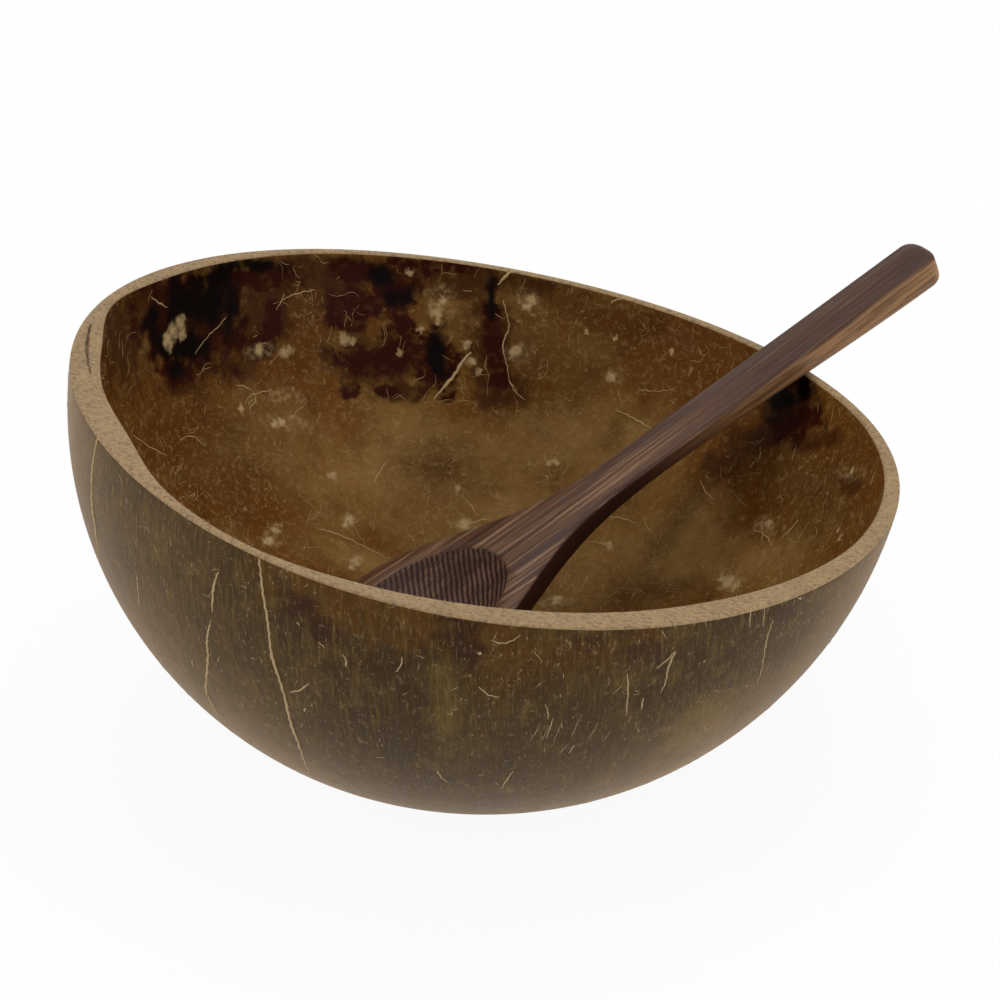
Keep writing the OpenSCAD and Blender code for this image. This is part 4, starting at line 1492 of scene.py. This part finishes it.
class BOWL_OT_spoon(bpy.types.Operator):
    """Builds the palm wood spoon and leans it in the bowl"""

    bl_idname = "bowl.spoon"
    bl_label = "Wooden spoon"
    bl_options = {"REGISTER", "UNDO"}

    scoop_steps = 150
    hollow_steps = 90
    handle_steps = 110
    end_steps = 12
    under_steps = 28
    across_steps = 120
    # How far the grain sways to the side, and how quickly
    sway = 1.2 * MM
    sway_pitch = 31 * MM
    # Where the colours of the handle's end set in and how fast, as shares of the spoon's length
    end_from = 0.46
    end_over = 0.3
    # Share of the hollow's depth at which its colours are whole
    hollow_from = 0.04

    def execute(self, context):
        scene = context.scene
        size = scene.bowl_spoon
        spoon = Spoon(size, Nut(scene.bowl_shell))
        spoon.lean()
        hollow_end = size.hollow_lip + size.hollow_l
        tip = size.scoop_end * (1 - np.cos(np.linspace(0, math.pi / 2, self.scoop_steps + 1)[1:]))
        middle = np.linspace(size.scoop_end, hollow_end, self.hollow_steps + 1)[1:]
        handle = np.linspace(hollow_end, size.spoon_l - spoon.end_round, self.handle_steps)[1:]
        a = np.linspace(0, math.pi / 2, self.end_steps + 1)[1:]
        end = size.spoon_l - spoon.end_round * (1 - np.sin(a))
        x = np.concatenate((tip, middle, handle, end))
        plain = len(x) - len(end)
        trim = np.concatenate((np.zeros(plain), spoon.end_round * (1 - np.cos(a))))
        thin = np.concatenate((np.zeros(plain), size.edge * (1 - np.cos(a))))
        across = np.linspace(-1, 1, self.across_steps + 1)
        rings = spoon.sections(x, trim, thin, self.under_steps, across, True)
        count, ring = rings.shape[:2]
        flat = rings.reshape(-1, 3)
        last = (count - 1) * ring
        ends = [tuple(reversed(range(ring))), tuple(range(last, last + ring))]
        faces = ends + ring_faces(count, ring)
        points = keep_inside(spoon.put(flat))
        made = new_object("palm_spoon", points, faces, (spoon_material(scene.bowl_wood),))
        grain = flat.copy()
        grain[:, 1] += self.sway * np.sin(flat[:, 0] / self.sway_pitch)
        store(made, "grain_place", grain)
        side = np.zeros((count, ring))
        side[:, : self.under_steps + 1] = 1
        store(made, "cut_side", side.ravel())
        store(made, "near_end", smooth((flat[:, 0] / size.spoon_l - self.end_from) / self.end_over))
        fall = spoon.hollow_fall(flat[:, 0], flat[:, 1])
        is_top = side.ravel() == 0
        store(made, "hollow", smooth(fall / (size.hollow_d * self.hollow_from)) * is_top)
        store(made, "ridge", spoon.ridges(flat[:, 0], flat[:, 1]) / size.ridge_d * is_top)
        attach(made, "spoon")
        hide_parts("spoon")
        return {"FINISHED"}


def seen_directly(nodes):
    """1 for what the camera sees, also by a gloss or through glass, and 0 for the light that things get."""
    rays = nodes.add("ShaderNodeLightPath").outputs
    bent = nodes.math("MAXIMUM", rays["Is Glossy Ray"], rays["Is Transmission Ray"])
    return nodes.math("MAXIMUM", rays["Is Camera Ray"], bent)


class BOWL_OT_stage(bpy.types.Operator):
    """Sets up the pale floor, the soft lights and the photograph's camera"""

    bl_idname = "bowl.stage"
    bl_label = "Stage"
    bl_options = {"REGISTER", "UNDO"}

    floor_half = 3.0
    # Share of the floor that is seen as plain white, while the rest keeps the shadow
    glow_share = 0.93
    paper = paint(246, 246, 246)
    paper_light = paint(250, 250, 250)
    # Name, place, width and power of each light
    lights = (
        ("overhead", (0.1, 0.15, 1.1), 0.9, "key"),
        ("left_side", (-0.9, -0.2, 0.4), 0.5, "fill"),
        ("right_side", (0.9, -0.2, 0.4), 0.5, "fill"),
    )

    def add_light(self, name, place, width, power):
        data = bpy.data.lights.new(name, "AREA")
        data.shape = "DISK"
        data.size = width
        data.energy = power
        light = bpy.data.objects.new(name, data)
        light.location = place
        light.rotation_euler = (-Vector(place)).to_track_quat("-Z", "Y").to_euler()
        bpy.context.scene.collection.objects.link(light)

    def add_floor(self):
        material, nodes, shader = new_material("pale_floor")
        grain = nodes.noise(nodes.object_place(), 30.0)
        paper = nodes.mix(grain, self.paper, self.paper_light)
        nodes.fill_all(shader, {"Base Color": paper, "Roughness": 0.9})
        glow = nodes.out("ShaderNodeEmission", {"Color": (1.0, 1.0, 1.0), "Strength": 1.0})
        glow_mask = nodes.times(seen_directly(nodes), self.glow_share)
        mixed = nodes.in_order(nodes.add("ShaderNodeMixShader"), (glow_mask, shader.outputs[0], glow))
        nodes.fill(material.node_tree.nodes["Material Output"].inputs["Surface"], mixed)
        half = self.floor_half
        corners = [(-half, -half, 0), (half, -half, 0), (half, half, 0), (-half, half, 0)]
        floor = new_object("floor", corners, [(0, 1, 2, 3)], (material,))

    def add_sky(self, scene):
        world = bpy.data.worlds.new("soft_sky")
        world.use_nodes = True
        nodes = Nodes(world.node_tree)
        strength = nodes.blend(seen_directly(nodes), scene.bowl_stage.sky, 1.0)
        back = world.node_tree.nodes["Background"]
        nodes.fill_all(back, {"Color": (1.0, 1.0, 1.0), "Strength": strength})
        scene.world = world

    def add_camera(self, scene):
        stage = scene.bowl_stage
        data = bpy.data.cameras.new("photo_camera")
        data.sensor_width = SENSOR
        data.lens = stage.focal / PHOTO_SIZE * SENSOR
        data.shift_x = (PHOTO_SIZE / 2 - stage.middle_x) / PHOTO_SIZE
        data.shift_y = (stage.middle_y - PHOTO_SIZE / 2) / PHOTO_SIZE
        eye = bpy.data.objects.new("photo_camera", data)
        eye.location = PhotoCamera(stage).place
        eye.rotation_euler = (math.pi / 2 - stage.elevation, 0, 0)
        scene.collection.objects.link(eye)
        scene.camera = eye

    def execute(self, context):
        scene = context.scene
        self.add_floor()
        self.add_sky(scene)
        for name, place, width, power in self.lights:
            self.add_light(name, place, width, getattr(scene.bowl_stage, power))
        self.add_camera(scene)
        scene.view_settings.view_transform = "Standard"
        return {"FINISHED"}


class BOWL_PT_panel(bpy.types.Panel):
    """Lists the pieces and the sizes and colours that a user would change"""

    bl_idname = "BOWL_PT_panel"
    bl_label = "Coconut shell bowl"
    bl_space_type = "VIEW_3D"
    bl_region_type = "UI"
    bl_category = "Coconut bowl"

    def draw(self, context):
        layout = self.layout
        for step in OPERATORS:
            layout.operator(step.bl_idname)
        for name in GROUPS:
            group = getattr(context.scene, name)
            box = layout.box()
            box.label(text=type(group).__name__)
            for key in group.__annotations__:
                box.prop(group, key)


GROUPS = {
    "bowl_shell": ShellSize,
    "bowl_spoon": SpoonSize,
    "bowl_fibres": FibreSize,
    "bowl_finish": ShellFinish,
    "bowl_wood": SpoonFinish,
    "bowl_stage": StageSize,
}
OPERATORS = (BOWL_OT_shell, BOWL_OT_inside_fibres, BOWL_OT_outside_fibres, BOWL_OT_spoon, BOWL_OT_stage)


def register():
    for name, group in GROUPS.items():
        bpy.utils.register_class(group)
        setattr(bpy.types.Scene, name, PointerProperty(type=group))
    for step in (*OPERATORS, BOWL_PT_panel):
        bpy.utils.register_class(step)


def unregister():
    for step in (BOWL_PT_panel, *reversed(OPERATORS)):
        bpy.utils.unregister_class(step)
    for name, group in reversed(GROUPS.items()):
        delattr(bpy.types.Scene, name)
        bpy.utils.unregister_class(group)


def main():
    register()
    bpy.ops.bowl.shell()
    bpy.ops.bowl.inside_fibres()
    bpy.ops.bowl.outside_fibres()
    bpy.ops.bowl.spoon()
    bpy.ops.bowl.stage()


if __name__ == "__main__":
    main()
